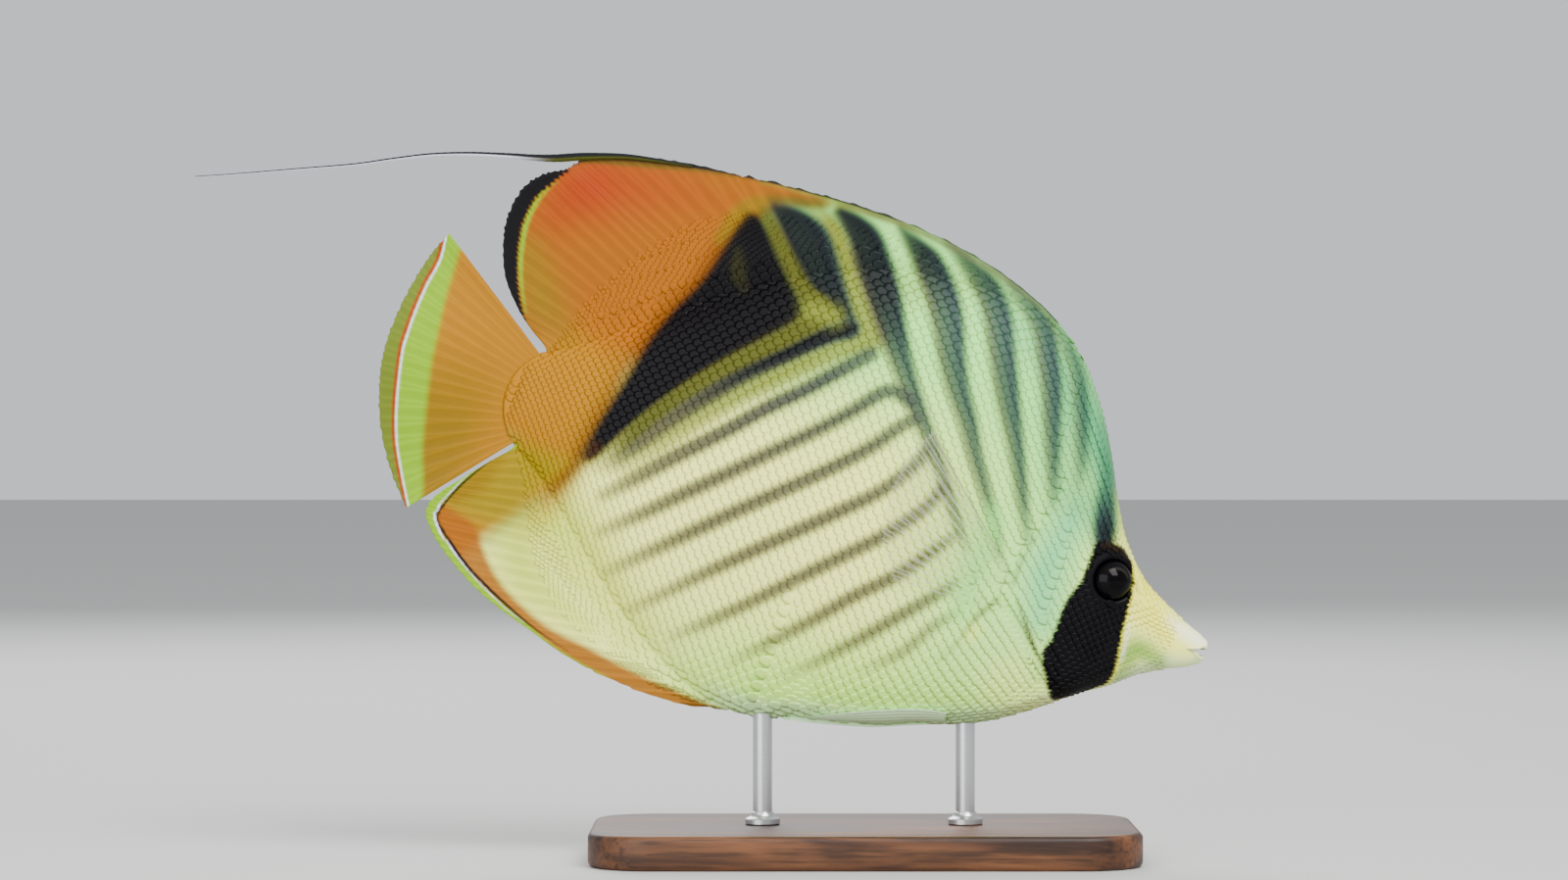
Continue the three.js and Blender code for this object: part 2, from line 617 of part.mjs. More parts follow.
add(fish, "head", headSolid(), materials.skin);
add(fish, "trunk", largestPiece(wholeTrunk.intersect(trunkRegion)), materials.skin);
add(fish, "tail_root", largestPiece(wholeTrunk.intersect(peduncleRegion)), materials.tailSkin);
add(fish, "dorsal_fin", dorsalFin(), materials.dorsal);
add(fish, "dorsal_thread", threadBar(0), materials.thread);
add(fish, "anal_fin", analFin(), materials.anal);
add(fish, "tail_fin", cutToTrunk(caudalFin()), materials.caudal);
for (const [name, side] of [["left", 1], ["right", -1]]) {
  add(fish, `eye_${name}`, eyeball(side, 0), materials.eye);
  add(fish, `gill_cover_${name}`, gillCoverOf(side), materials.skin);
  add(fish, `pectoral_fin_${name}`, pectoralFin(side), materials.clearFin);
  add(fish, `pelvic_fin_${name}`, pelvicFin(side), materials.skin);
}

const model = new THREE.Group();
model.add(fish);
const base = new THREE.Mesh(baseGeometry(), materials.wood);
base.name = "stand_base";
model.add(base);
add(model, "stand_rod_front", rodSolid(rod.spacing / 2), materials.steel);
add(model, "stand_rod_rear", rodSolid(-rod.spacing / 2), materials.steel);

export default model;
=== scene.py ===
"""A threadfin butterflyfish at life size, swimming head down over a plain two-rod display stand.

The fish is drawn in its own frame. A place on it is given in percent of its standard length as
(behind the snout tip, above the body's axis), and a sideways distance in millimetres, left positive.
The markings are painted as strokes, washes and areas in that side view, the same on both sides.
"""
import math

import bmesh
import bpy
import numpy as np
from bpy.props import FloatProperty, FloatVectorProperty, IntProperty, PointerProperty
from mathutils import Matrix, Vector


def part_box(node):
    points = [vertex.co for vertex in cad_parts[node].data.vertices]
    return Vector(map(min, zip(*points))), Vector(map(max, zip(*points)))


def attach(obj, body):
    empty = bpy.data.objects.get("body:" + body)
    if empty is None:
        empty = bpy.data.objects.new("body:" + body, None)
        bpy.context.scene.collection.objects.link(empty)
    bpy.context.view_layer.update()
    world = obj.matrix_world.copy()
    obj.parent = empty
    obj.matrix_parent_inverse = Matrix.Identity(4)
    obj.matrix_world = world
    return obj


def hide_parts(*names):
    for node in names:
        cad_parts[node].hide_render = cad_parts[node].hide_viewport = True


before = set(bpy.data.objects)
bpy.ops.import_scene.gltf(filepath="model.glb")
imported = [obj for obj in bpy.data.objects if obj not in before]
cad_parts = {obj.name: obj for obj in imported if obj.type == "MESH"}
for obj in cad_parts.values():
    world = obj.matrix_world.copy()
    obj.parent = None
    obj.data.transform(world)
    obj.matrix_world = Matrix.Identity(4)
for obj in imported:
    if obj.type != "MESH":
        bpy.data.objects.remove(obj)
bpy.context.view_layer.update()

bl_info = {
    "name": "Threadfin Butterflyfish",
    "version": (1, 0, 0),
    "blender": (4, 5, 0),
    "location": "View3D > Sidebar > Butterflyfish",
    "description": "Builds a life-size still model of a threadfin butterflyfish on a display stand",
    "category": "Object",
}

MM = 0.001

# Name of the unwrap, and the size of one scale's patch on it.
UNWRAP = "OFBake"
PATCH_SIZE = 0.003

# The fish and its stand in millimetres, and the angle by which the head points down.
STANDARD_LENGTH = 148.0
PERCENT = STANDARD_LENGTH / 100
HEAD_DOWN = math.radians(20.3)
BASE_LENGTH = 112.0
BASE_WIDTH = 62.0
BASE_HEIGHT = 7.0
BELLY_CLEARANCE = 27.9
ROD_SPACING = 41.6
ROD_RADIUS = 2.0
SNOUT_AHEAD = 0.475 * STANDARD_LENGTH

# Side outlines of the body without its fins.
BACK = (
    (0, 0.35), (0.7, 1.15), (1.6, 1.65), (2.7, 2), (5.4, 3), (8.1, 4.2), (10.8, 5.6), (13.5, 8),
    (16.2, 11.1), (18.9, 15.6), (21.6, 20.6), (24.3, 24.9), (27, 28.4), (29.7, 31.4), (33, 33.5),
    (38, 35), (43, 35.6), (48, 35.6), (54, 34.9), (60, 33.3), (66, 30.9), (72, 27.6), (78, 23.6),
    (84, 19.1), (90, 14), (95, 9.8), (100, 6.5), (102, 6.4), (104, 6.8),
)
BELLY = (
    (0, -1.6), (0.7, -2.5), (1.6, -3.2), (2.7, -3.8), (5.4, -5.1), (8.1, -6.9), (10.8, -9.3),
    (13.5, -11.2), (16.2, -13.3), (18.9, -15.5), (21.6, -17.5), (24.3, -19.3), (27, -20.7), (30, -21.9),
    (34, -23.3), (38, -25), (42, -26.4), (46, -27.6), (50, -28.5), (54, -29.8), (57, -30.4), (61, -30.2),
    (65, -29.2), (70, -27.1), (75, -24.4), (80, -21), (85, -17.1), (90, -12.9), (95, -9), (100, -6.2),
    (102, -6.1), (104, -6.6),
)
HALF_WIDTH = (
    (0, 0.9), (0.7, 1.5), (2, 2), (5, 2.5), (8, 3), (11, 3.8), (14, 4.8), (17, 5.6), (21, 6.5), (25, 7.3),
    (30, 8), (36, 8.3), (45, 8.2), (55, 7.5), (65, 6.4), (75, 5), (85, 3.6), (92, 2.6), (100, 1.6),
    (102, 0.9), (104, 0.42),
)
WAIST = (
    (0, -0.6), (8, -1), (13, 0.3), (18, 0.8), (25, 0), (35, -2.2), (50, -1.6), (70, 0), (100, 0.2),
    (104, 0.1),
)
BACK_SHARPNESS = ((0, 0.9), (15, 0.8), (25, 0.95), (35, 1.2), (60, 1.3), (85, 1.2), (100, 0.9))
BELLY_SHARPNESS = ((0, 0.9), (20, 0.8), (40, 0.9), (57, 1.15), (85, 1.2), (100, 0.9))
BACK_RIDGE = ((0, 0), (27, 0.1), (34, 0.75), (90, 0.65), (100, 0.5))
BELLY_RIDGE = ((0, 0), (52, 0.1), (58, 0.75), (90, 0.65), (100, 0.5))

# Margins of the median fins, in front-to-rear order.
DORSAL_SPINY = (
    (34.2, 34.9), (37, 36.4), (40, 37.6), (44, 38.9), (48.4, 39.9), (53, 40.6), (58, 41), (63, 41.1),
    (68, 40.9), (72, 40.6), (76, 40.2), (80, 39.8), (83.4, 39.15),
)
DORSAL_SOFT = (
    (83.4, 39.15), (90.5, 38.3), (98, 36.7), (103.6, 34.8), (105.4, 32.8), (106.5, 31.5), (109, 29.9),
    (111, 27.2), (111.7, 23.3), (111.2, 19.6), (109.2, 14.8), (106, 11.2), (103, 8.9), (100.4, 7.5),
)
ANAL_SPINY = ((64.2, -32.3), (69.5, -32.8), (75, -32.75), (79.9, -32.3))
ANAL_SOFT = (
    (79.9, -32.3), (84.5, -31.4), (89, -30.1), (93.5, -28.9), (98, -27.3), (102.2, -25.1), (105.6, -22.8),
    (107.9, -20.4), (108.2, -18.6), (107.3, -16.6), (105.9, -14.7), (103.9, -12.2), (101.9, -9.7),
    (99.9, -7.5),
)
CAUDAL_ROOT = ((99.2, 5.2), (99.4, 3.2), (99.5, 0), (99.4, -3.2), (99.2, -5.4))
CAUDAL_MARGIN = (
    (118.5, 17.6), (119.9, 14.1), (120.9, 9.4), (121.4, 4.6), (121.3, -0.6), (120.3, -5.3),
    (118.1, -10.9), (114.8, -16), (110.9, -20.2),
)
# Prolonged soft rays: behind, above, and millimetres to the left.
THREAD = (
    (90, 38.1, 0), (95, 37.1, 0), (99.5, 36, 0), (104.4, 34.2, 0), (108.3, 32.5, 0), (111.3, 31.5, 0.1),
    (114.5, 30.6, 0.3), (119.6, 29, 0.8), (124.7, 27, 1.4), (129.5, 24.6, 2), (134.4, 22, 2.6),
    (141.8, 18.6, 3.3), (149.2, 15.2, 3.8), (154.6, 12.8, 4),
)
THREAD_RADIUS = (
    (0, 0.24), (0.12, 0.55), (0.25, 0.86), (0.33, 0.64), (0.42, 0.46), (0.6, 0.32), (1, 0.14),
)
GILL_EDGE = (
    (25.9, 21), (26.3, 13.5), (27.4, 8), (28.6, 3), (29, -0.4), (28.4, -2.6), (26, -4.9), (23.4, -7.4),
    (19.9, -11.1), (17.6, -14),
)
PREOPERCLE = ((25, 13.2), (23.4, 9), (22.7, 4), (22.6, -1), (21.8, -5), (19.8, -8.6), (18.4, -10.2))
EYE_AT = (15.6, 4.5)
EYE_RADIUS = 4.3
EYE_DEPTH = 3.2
EYE_SUNK = 1.3
NOSTRILS = ((11.4, 3.9, 0.42), (10.1, 3.3, 0.34))
MOUTH_CORNER = 2.3


def smooth(low, high, value):
    """Soft step from 0 at low to 1 at high."""
    share = np.clip((value - low) / (high - low), 0, 1)
    return share * share * (3 - 2 * share)


def bump(value, centre, width):
    """Bell shape of height 1."""
    return np.exp(-(((value - centre) / width) ** 2))


def unit(vectors):
    """Vectors at a length of 1."""
    return vectors / np.maximum(np.linalg.norm(vectors, axis=-1, keepdims=True), 1e-9)


def running(steps):
    """Sums of the steps so far, from 0."""
    return np.concatenate([[0], np.cumsum(steps)])


def spline_at(points, along):
    """A smooth curve through the points, read at shares from 0 to 1."""
    given = np.asarray(points, float)
    last = len(given) - 1
    place = np.clip(np.asarray(along, float), 0, 1) * last
    start = np.minimum(place.astype(int), last - 1)
    t = (place - start)[..., None]
    one = given[start]
    two = given[start + 1]
    leave = (two - given[np.maximum(start - 1, 0)]) / 2
    arrive = (given[np.minimum(start + 2, last)] - one) / 2
    bend = (2 * one - 2 * two + leave + arrive) * t**3
    return bend + (-3 * one + 3 * two - 2 * leave - arrive) * t**2 + leave * t + one


def spline(points, steps=12):
    """Places along a smooth curve through the points."""
    return spline_at(points, np.linspace(0, 1, (len(points) - 1) * steps + 1))


def profile(points):
    """Height of a smooth curve whose first numbers rise, for any place along it."""
    samples = spline_at(points, np.linspace(0, 1, len(points) * 12 + 1))
    return lambda x: np.interp(x, samples[:, 0], samples[:, 1])


back = profile(BACK)
belly = profile(BELLY)
half_width = profile(HALF_WIDTH)
waist = profile(WAIST)
back_sharpness = profile(BACK_SHARPNESS)
belly_sharpness = profile(BELLY_SHARPNESS)
back_ridge = profile(BACK_RIDGE)
belly_ridge = profile(BELLY_RIDGE)
dorsal_top = profile(DORSAL_SPINY[:-1] + DORSAL_SOFT[1:4])
anal_bottom = profile(((57, -30.4),) + ANAL_SPINY[:-1] + ANAL_SOFT[1:6])

_stations = np.linspace(0, 100, 101)
LOWEST_OF_BELLY = (
    PERCENT * (belly(_stations) * math.cos(HEAD_DOWN) + _stations * math.sin(HEAD_DOWN))
).min()
FISH_HEIGHT = BELLY_CLEARANCE - LOWEST_OF_BELLY


def to_world(behind, up, left=0.0):
    """Metres in the stand's frame for places on the fish."""
    along = np.asarray(behind) * PERCENT
    above = np.asarray(up) * PERCENT
    x = SNOUT_AHEAD - along * math.cos(HEAD_DOWN) + above * math.sin(HEAD_DOWN)
    z = FISH_HEIGHT + along * math.sin(HEAD_DOWN) + above * math.cos(HEAD_DOWN)
    return np.stack(np.broadcast_arrays(x, np.asarray(left, float), z), axis=-1) * MM


def to_fish(places):
    """Percent behind the snout and above the axis for places in metres."""
    x = places[..., 0] / MM - SNOUT_AHEAD
    z = places[..., 2] / MM - FISH_HEIGHT
    behind = (z * math.sin(HEAD_DOWN) - x * math.cos(HEAD_DOWN)) / PERCENT
    up = (x * math.sin(HEAD_DOWN) + z * math.cos(HEAD_DOWN)) / PERCENT
    return behind, up


def in_fish_frame(behind, up, left):
    """Millimetres forward, left and above for places given in percent and millimetres to the left."""
    ahead = -np.asarray(behind) * PERCENT
    return np.stack(np.broadcast_arrays(ahead, left, np.asarray(up) * PERCENT), -1)


def from_fish_frame(points):
    """Metres in the stand's frame for millimetres forward, left and above in the fish's frame."""
    return to_world(-points[..., 0] / PERCENT, points[..., 2] / PERCENT, points[..., 1])


def turn_to_world(vectors):
    """Directions forward, left and above in the fish's frame, turned to the stand's frame."""
    x, y, z = vectors.T
    c = math.cos(HEAD_DOWN)
    s = math.sin(HEAD_DOWN)
    return np.stack([x * c + z * s, y, z * c - x * s], -1)


def flank(behind, up):
    """Half width of the bare body in millimetres at a place on its side, 0 off its outline."""
    middle = waist(behind)
    above = up > middle
    edge = np.where(above, back(behind), belly(behind))
    rise = np.minimum(1, np.abs(up - middle) / np.abs(edge - middle))
    sideways = np.sqrt(1 - rise * rise)
    ridge = np.where(above, back_ridge(behind), belly_ridge(behind))
    sharpness = np.where(above, back_sharpness(behind), belly_sharpness(behind))
    width = ridge * sideways**0.5 + (half_width(behind) - ridge) * sideways**sharpness
    return width * PERCENT


def fin_foot(behind, above):
    """How far the scaled foot of the dorsal or anal fin stands over the body's edge, in percent."""
    if above:
        reach = dorsal_top(behind) - back(behind)
        spread = smooth(31, 37, behind) * smooth(99.6, 95, behind)
    else:
        reach = belly(behind) - anal_bottom(behind)
        spread = smooth(57.5, 63, behind) * smooth(99.6, 95, behind)
    return np.clip(0.5 * reach, 0, 4.5) * spread


# Half thicknesses in millimetres of the fin webs, their ray ridges and the body's fin feet.
FIN_ROOT_HALF = 0.5
FIN_MARGIN_HALF = 0.13
FIN_RIDGE = 0.13
SPINE_RISE = 1.6
FOOT_HALF = 0.62
FOOT_END_HALF = 0.4


def foot_half(behind, up):
    """Half thickness in millimetres of the fin feet that run on from the body's edges."""
    total = np.zeros(np.broadcast(behind, up).shape)
    for above, edge in ((True, back(behind)), (False, belly(behind))):
        height = fin_foot(behind, above)
        out = (up - edge) if above else (edge - up)
        share = np.clip(out / np.maximum(height, 1e-6), 0, 1)
        half = FOOT_HALF + (FOOT_END_HALF - FOOT_HALF) * share
        end = np.sqrt(1 - smooth(0.93, 1.0, share) ** 2)
        near = smooth(-3.0, 0.0, out) * np.minimum(1, height / 0.8)
        total = np.maximum(total, half * end * near * (height > 1e-4))
    return total


def skin_half(behind, up):
    """Half width of the body with its fin feet, in millimetres."""
    return np.hypot(flank(behind, up), foot_half(behind, up))


def nearest_on(curve, places):
    """Distance to a line of samples, side of it (1 to the left of its run), and its values there."""
    count = len(places)
    distance = np.empty(count)
    side = np.empty(count)
    values = np.empty((count, curve.shape[1]))
    run = np.diff(curve[:, :2], axis=0)
    length = np.maximum((run**2).sum(1), 1e-12)
    for start in range(0, count, 20000):
        part = slice(start, start + 20000)
        here = places[part]
        apart = ((here[:, None, :] - curve[None, :, :2]) ** 2).sum(2)
        closest = apart.argmin(1)
        best = np.full(len(here), np.inf)
        for step in (-1, 0):
            segment = np.clip(closest + step, 0, len(run) - 1)
            gap = here - curve[segment, :2]
            share = np.clip((gap * run[segment]).sum(1) / length[segment], 0, 1)
            foot = curve[segment, :2] + run[segment] * share[:, None]
            away = np.hypot(*(here - foot).T)
            better = away < best
            best = np.where(better, away, best)
            turn = run[segment, 0] * gap[:, 1] - run[segment, 1] * gap[:, 0]
            mixed = curve[segment] * (1 - share[:, None]) + curve[segment + 1] * share[:, None]
            side[part] = np.where(better, np.sign(turn), side[part])
            values[part] = np.where(better[:, None], mixed, values[part])
        distance[part] = best
    return distance, side, values


def inside_of(outline, places):
    """Whether each place lies inside a closed outline."""
    inside = np.zeros(len(places), bool)
    x, y = places.T
    for (x1, y1), (x2, y2) in zip(outline, np.roll(outline, -1, axis=0)):
        if y1 == y2:
            continue
        crosses = (y1 > y) != (y2 > y)
        inside ^= crosses & (x < (x2 - x1) * (y - y1) / (y2 - y1) + x1)
    return inside


def relief(behind, up):
    """Height of the flank's forms over the plain body in millimetres: gill cover, eye rim, nostrils."""
    shape = np.broadcast(behind, up).shape
    places = np.stack(np.broadcast_arrays(behind, up), -1).reshape(-1, 2).astype(float)
    height = np.zeros(len(places))
    head = places[:, 0] < 36
    b, u = places[head].T
    raised = np.zeros(len(b))
    edge = spline(GILL_EDGE, 8)
    distance, side, _ = nearest_on(edge, places[head])
    gap = distance * side * PERCENT
    spread = smooth(17, 12, u) * smooth(-13.5, -10.5, u)
    cover = 0.22 * np.exp(-((np.minimum(gap, 0) / 4.5) ** 2)) * smooth(0.6, -0.3, gap)
    raised += spread * (cover - 0.1 * bump(gap, 0.45, 0.4))
    distance, _, _ = nearest_on(spline(PREOPERCLE, 8), places[head])
    raised -= 0.04 * bump(distance * PERCENT, 0, 0.8)
    apart = np.hypot(b - EYE_AT[0], u - EYE_AT[1]) * PERCENT
    raised += 0.26 * bump(apart, EYE_RADIUS + 0.45, 0.5)
    raised -= 2.4 * smooth(EYE_RADIUS + 0.1, EYE_RADIUS - 0.9, apart)
    for at_b, at_u, radius in NOSTRILS:
        apart = np.hypot(b - at_b, u - at_u) * PERCENT
        raised += 0.16 * bump(apart, radius + 0.22, 0.2) - 0.4 * bump(apart, 0, radius * 0.8)
    raised += 0.35 * bump(np.hypot(b - 31.2, (u + 2.6) * 0.6), 0, 1.6)
    raised -= 0.25 * bump(np.hypot((b - 10.5), (u - 0.2) * 1.3), 0, 2.6)
    height[head] = raised
    return height.reshape(shape)


def linear(colour):
    """Scene-linear values of a display colour."""
    value = np.asarray(colour[:3], float)
    return np.where(value <= 0.04045, value / 12.92, ((value + 0.055) / 1.055) ** 2.4)


class Painter:
    """Colours for places in the side view, laid on one mark after another."""

    def __init__(self, behind, up, ground):
        self.places = np.stack([behind, up], -1)
        self.colour = np.tile(linear(ground), (len(behind), 1))

    def blend(self, colour, share, which=slice(None)):
        """Lays a colour over the places by a share from 0 to 1."""
        share = np.clip(share, 0, 1)[:, None]
        self.colour[which] = self.colour[which] * (1 - share) + linear(colour) * share

    def near(self, points, reach, places=None):
        """Indices of the places in the box round some points."""
        places = self.places if places is None else places
        low = points[:, :2].min(0) - reach
        high = points[:, :2].max(0) + reach
        return np.flatnonzero(((places > low) & (places < high)).all(1))

    def wash(self, colour, points):
        """A soft airbrushed band: points are behind, above, radius, strength."""
        curve = spline(points, 6) if len(points) > 1 else np.array([points[0], points[0]], float)
        which = self.near(curve, 2.2 * curve[:, 2].max())
        if len(which):
            distance, _, values = nearest_on(curve, self.places[which])
            self.blend(colour, values[:, 3] * np.exp(-((distance / values[:, 2]) ** 2) * 1.2), which)

    def stroke(self, colour, points, soft, tint=None):
        """A band of changing half width and strength. `tint` colours its rear side another way."""
        curve = spline(points, 8)
        curve[:, 2:] = np.maximum(curve[:, 2:], 0)
        which = self.near(curve, curve[:, 2].max() + soft)
        if len(which):
            distance, side, values = nearest_on(curve, self.places[which])
            share = values[:, 3] * smooth(soft, -soft, distance - values[:, 2])
            if tint is not None:
                rear = smooth(-0.6, 1.0, distance * side / np.maximum(values[:, 2], 0.3))
                self.blend(tint, share * rear, which)
                share = share * (1 - rear)
            self.blend(colour, share, which)

    def area(self, colour, outline, soft, strength=1.0, ragged=0.0):
        """The inside of a smooth closed outline, with a soft edge that may be ragged along the fish."""
        closed = spline(tuple(outline) + (outline[0],), 6)
        places = self.places.copy()
        places[:, 0] += ragged
        which = self.near(closed, soft, places)
        if len(which):
            distance, _, _ = nearest_on(closed, places[which])
            inside = inside_of(closed[:-1], places[which])
            signed = np.where(inside, -distance, distance)
            self.blend(colour, strength * smooth(soft, -soft, signed), which)


def link_new(name, data):
    """A new object in the scene that holds the data."""
    piece = bpy.data.objects.new(name, data)
    bpy.context.scene.collection.objects.link(piece)
    return piece


def turn_outwards(mesh, merge=False):
    """Turns a mesh's faces outwards, its doubles merged first where asked, and shades it smooth."""
    work = bmesh.new()
    work.from_mesh(mesh)
    if merge:
        bmesh.ops.remove_doubles(work, verts=work.verts, dist=1e-6)
    bmesh.ops.recalc_face_normals(work, faces=work.faces)
    work.to_mesh(mesh)
    work.free()
    mesh.shade_smooth()


def new_object(name, vertices, faces, corner_uv=None, shares=None):
    """A mesh object from metres and index lists, its doubles merged and its faces turned outwards."""
    mesh = bpy.data.meshes.new(name)
    mesh.from_pydata([tuple(v) for v in vertices], [], [tuple(f) for f in faces])
    if corner_uv is not None:
        layer = mesh.uv_layers.new(name=UNWRAP)
        layer.data.foreach_set("uv", np.asarray(corner_uv, np.float32).reshape(-1))
    for label, values in (shares or {}).items():
        store_float(mesh, label, values)
    turn_outwards(mesh, merge=True)
    return link_new(name, mesh)


def positions_of(mesh):
    """Places of a mesh's vertices in metres, one row a vertex."""
    places = np.empty(len(mesh.vertices) * 3, np.float32)
    mesh.vertices.foreach_get("co", places)
    return places.reshape(-1, 3).astype(float)


def store_colour(mesh, name, colours):
    """A colour attribute with one scene-linear colour a vertex."""
    layer = mesh.attributes.get(name) or mesh.attributes.new(name, "FLOAT_COLOR", "POINT")
    full = np.ones((len(colours), 4), np.float32)
    full[:, :3] = colours
    layer.data.foreach_set("color", full.reshape(-1))


def store_float(mesh, name, values):
    """An attribute with one number a vertex."""
    layer = mesh.attributes.get(name) or mesh.attributes.new(name, "FLOAT", "POINT")
    layer.data.foreach_set("value", np.asarray(values, np.float32))


def grid_faces(rows, columns, wrap=False):
    """Corner indices and corner places (row, column) of a grid of points, column index fastest."""
    width = columns if wrap else columns + 1
    row, column = np.meshgrid(np.arange(rows), np.arange(columns), indexing="ij")
    corners = ((row, column), (row, column + 1), (row + 1, column + 1), (row + 1, column))
    faces = np.stack([r * width + (c % width if wrap else c) for r, c in corners], -1).reshape(-1, 4)
    places = np.stack([np.stack([r, c], -1) for r, c in corners], -2).reshape(-1, 4, 2)
    return faces, places


# Steps round one side's section: over each fin foot, below the waist and above it.
FOOT_STEPS = 8
BELOW_STEPS = 64
ABOVE_STEPS = 72
HALF_STEPS = 2 * FOOT_STEPS + BELOW_STEPS + ABOVE_STEPS
COAT_DEPTH = 0.12
LIP_END = 4.0


def half_ring(behind):
    """Heights of the points of one side's section, from the lower fin foot to the upper one."""
    behind = np.asarray(behind, float)[..., None]
    middle = waist(behind)
    low = belly(behind)
    high = back(behind)
    foot = np.linspace(0, 1, FOOT_STEPS, endpoint=False)
    lower_foot = low - fin_foot(behind, False) * (1 - foot)
    upper_foot = high + fin_foot(behind, True) * (1 - foot[::-1])
    sink = np.sin(np.linspace(-math.pi / 2, 0, BELOW_STEPS, endpoint=False))
    rise = np.sin(np.linspace(0, math.pi / 2, ABOVE_STEPS + 1))
    lower = middle + sink * (middle - low)
    upper = middle + rise * (high - middle)
    return np.concatenate([lower_foot, lower, upper, upper_foot], axis=-1)


def whole_ring(half_values):
    """Values of both sides round a section: right side upwards, then left side downwards."""
    return np.concatenate([half_values, half_values[..., -2:0:-1]], axis=-1)


def mouth_rim(height_share):
    """How far behind the lips' front the mouth's edge lies, for a section's height share 0 to 1."""
    open_part = 1.3 * (1 - np.minimum(1, height_share / 0.6))
    slit = (MOUTH_CORNER - 1.3) * (1 - np.minimum(1, height_share / 0.12))
    return open_part + slit


REAR_START = 98
SKIN_END = 103.6


def rear_bow(behind, height_share):
    """How far ahead of a station its upper and lower parts lie, which rounds the skin's rear end."""
    return 0.5 * np.clip(behind - REAR_START, 0, SKIN_END - REAR_START) * height_share**2


def skin_grid():
    """Points of one side's skin in percent and millimetres, as half rings from the lips to the tail."""
    trunk_stations = np.concatenate([
        np.linspace(LIP_END, 30, 92)[1:],
        np.linspace(30, REAR_START, 150)[1:],
        np.linspace(REAR_START, SKIN_END, 16)[1:],
    ])
    foot = np.zeros(FOOT_STEPS)
    sink = np.abs(np.sin(np.linspace(-math.pi / 2, 0, BELOW_STEPS, endpoint=False)))
    rise = np.abs(np.sin(np.linspace(0, math.pi / 2, ABOVE_STEPS + 1)))
    share = np.concatenate([foot + 1, sink, rise, foot + 1])
    rim = mouth_rim(share)
    lip_shares = np.linspace(0, 1, 20) ** 1.35
    rows = []
    for part in lip_shares:
        behind = rim + (LIP_END - rim) * part
        up = np.diagonal(half_ring(behind))
        rows.append((behind, up, flank(behind, up)))
    for b in trunk_stations:
        behind = b - rear_bow(b, share)
        up = np.diagonal(half_ring(behind)) if b > REAR_START else half_ring(b)
        rows.append((behind, up, skin_half(behind, up)))
    behind, up, half = np.array(rows).transpose(1, 0, 2)
    half[:, 0] = 0
    half[:, -1] = 0
    return behind, up, half


def grid_normals(points, outward):
    """Normals of a grid of points closed round its columns, turned to the outward side."""
    along = np.gradient(points, axis=0)
    wrapped = np.concatenate([points[:, -1:], points, points[:, :1]], axis=1)
    around = (wrapped[:, 2:] - wrapped[:, :-2]) / 2
    normals = unit(np.cross(along, around))
    turn = np.sign((normals * outward).sum(-1, keepdims=True).sum(1, keepdims=True))
    return normals * np.where(turn == 0, 1, turn)


def skin_surface():
    """The finished skin as a grid in millimetres of the fish's frame: forward, left, above."""
    behind, up, half = skin_grid()
    full_b = whole_ring(behind)
    full_u = whole_ring(up)
    right = np.concatenate([np.ones(HALF_STEPS + 1), -np.ones(HALF_STEPS - 1)])
    full_y = -whole_ring(half) * right
    points = in_fish_frame(full_b, full_u, full_y)
    middle = waist(full_b) * PERCENT
    outward = np.stack([np.zeros_like(full_b), full_y, full_u * PERCENT - middle], -1)
    normals = grid_normals(points, outward)
    lip_distance = (full_b - full_b[:1]) * PERCENT
    lip = 0.34 * bump(lip_distance, 0.55, 0.42) * smooth(LIP_END, 2.5, full_b)
    depth = COAT_DEPTH * smooth(2.5, 6, full_b)
    moved = relief(full_b, full_u) + lip - depth
    return points + normals * moved[..., None]


def inner_mouth(rim_ring):
    """Rings that roll the lips inwards and close the mouth's hollow behind them."""
    depth = np.array([-2.9 * PERCENT, 0, -0.85 * PERCENT])
    rings = []
    for share, pinch in ((0.04, 0.12), (0.14, 0.3), (0.35, 0.5), (0.65, 0.75), (0.9, 0.93)):
        ring = rim_ring.copy()
        ring[:, 0] += (depth[0] - ring[:, 0]) * share
        ring[:, 1] *= 1 - pinch
        ring[:, 2] += (depth[2] - ring[:, 2]) * pinch
        rings.append(ring)
    return np.array(rings[::-1]), depth


def build_skin():
    """One closed skin from the mouth's hollow to the tail's root."""
    surface = skin_surface()
    mouth_rings, mouth_pole = inner_mouth(surface[0])
    grid = np.concatenate([mouth_rings, surface])
    rows, columns = grid.shape[0] - 1, grid.shape[1]
    faces, places = grid_faces(rows, columns, wrap=True)
    tail_pole = grid[-1].mean(0) + np.array([-0.25, 0, 0])
    points = np.concatenate([grid.reshape(-1, 3), [mouth_pole], [tail_pole]])
    around = np.arange(columns)
    last = rows * columns
    front = np.stack([(around + 1) % columns, around, np.full(columns, len(points) - 2)], -1)
    rear = np.stack([last + around, last + (around + 1) % columns, np.full(columns, len(points) - 1)], -1)
    along, round_share = unwrap_axes(grid)
    uv = np.stack([along[places[..., 0]], round_share[places[..., 1]]], -1).reshape(-1, 2)
    front_uv = [((0, round_share[j + 1]), (0, round_share[j]), (0, round_share[j])) for j in around]
    rear_uv = [((1, round_share[j]), (1, round_share[j + 1]), (1, round_share[j])) for j in around]
    corner_uv = np.concatenate([uv, np.reshape(front_uv, (-1, 2)), np.reshape(rear_uv, (-1, 2))])
    all_faces = [*faces.tolist(), *front.tolist(), *rear.tolist()]
    return new_object("fish_skin", from_fish_frame(points), all_faces, corner_uv)


def unwrap_axes(grid):
    """Shares from 0 to 1 along the rings and round them, by the middle lengths of the grid's steps."""
    along = np.linalg.norm(np.diff(grid, axis=0), axis=-1).mean(1)
    closed = np.concatenate([grid, grid[:, :1]], axis=1)
    around = np.linalg.norm(np.diff(closed, axis=1), axis=-1).mean(0)
    along = running(along)
    around = running(around)
    return along / along[-1], around / around[-1]


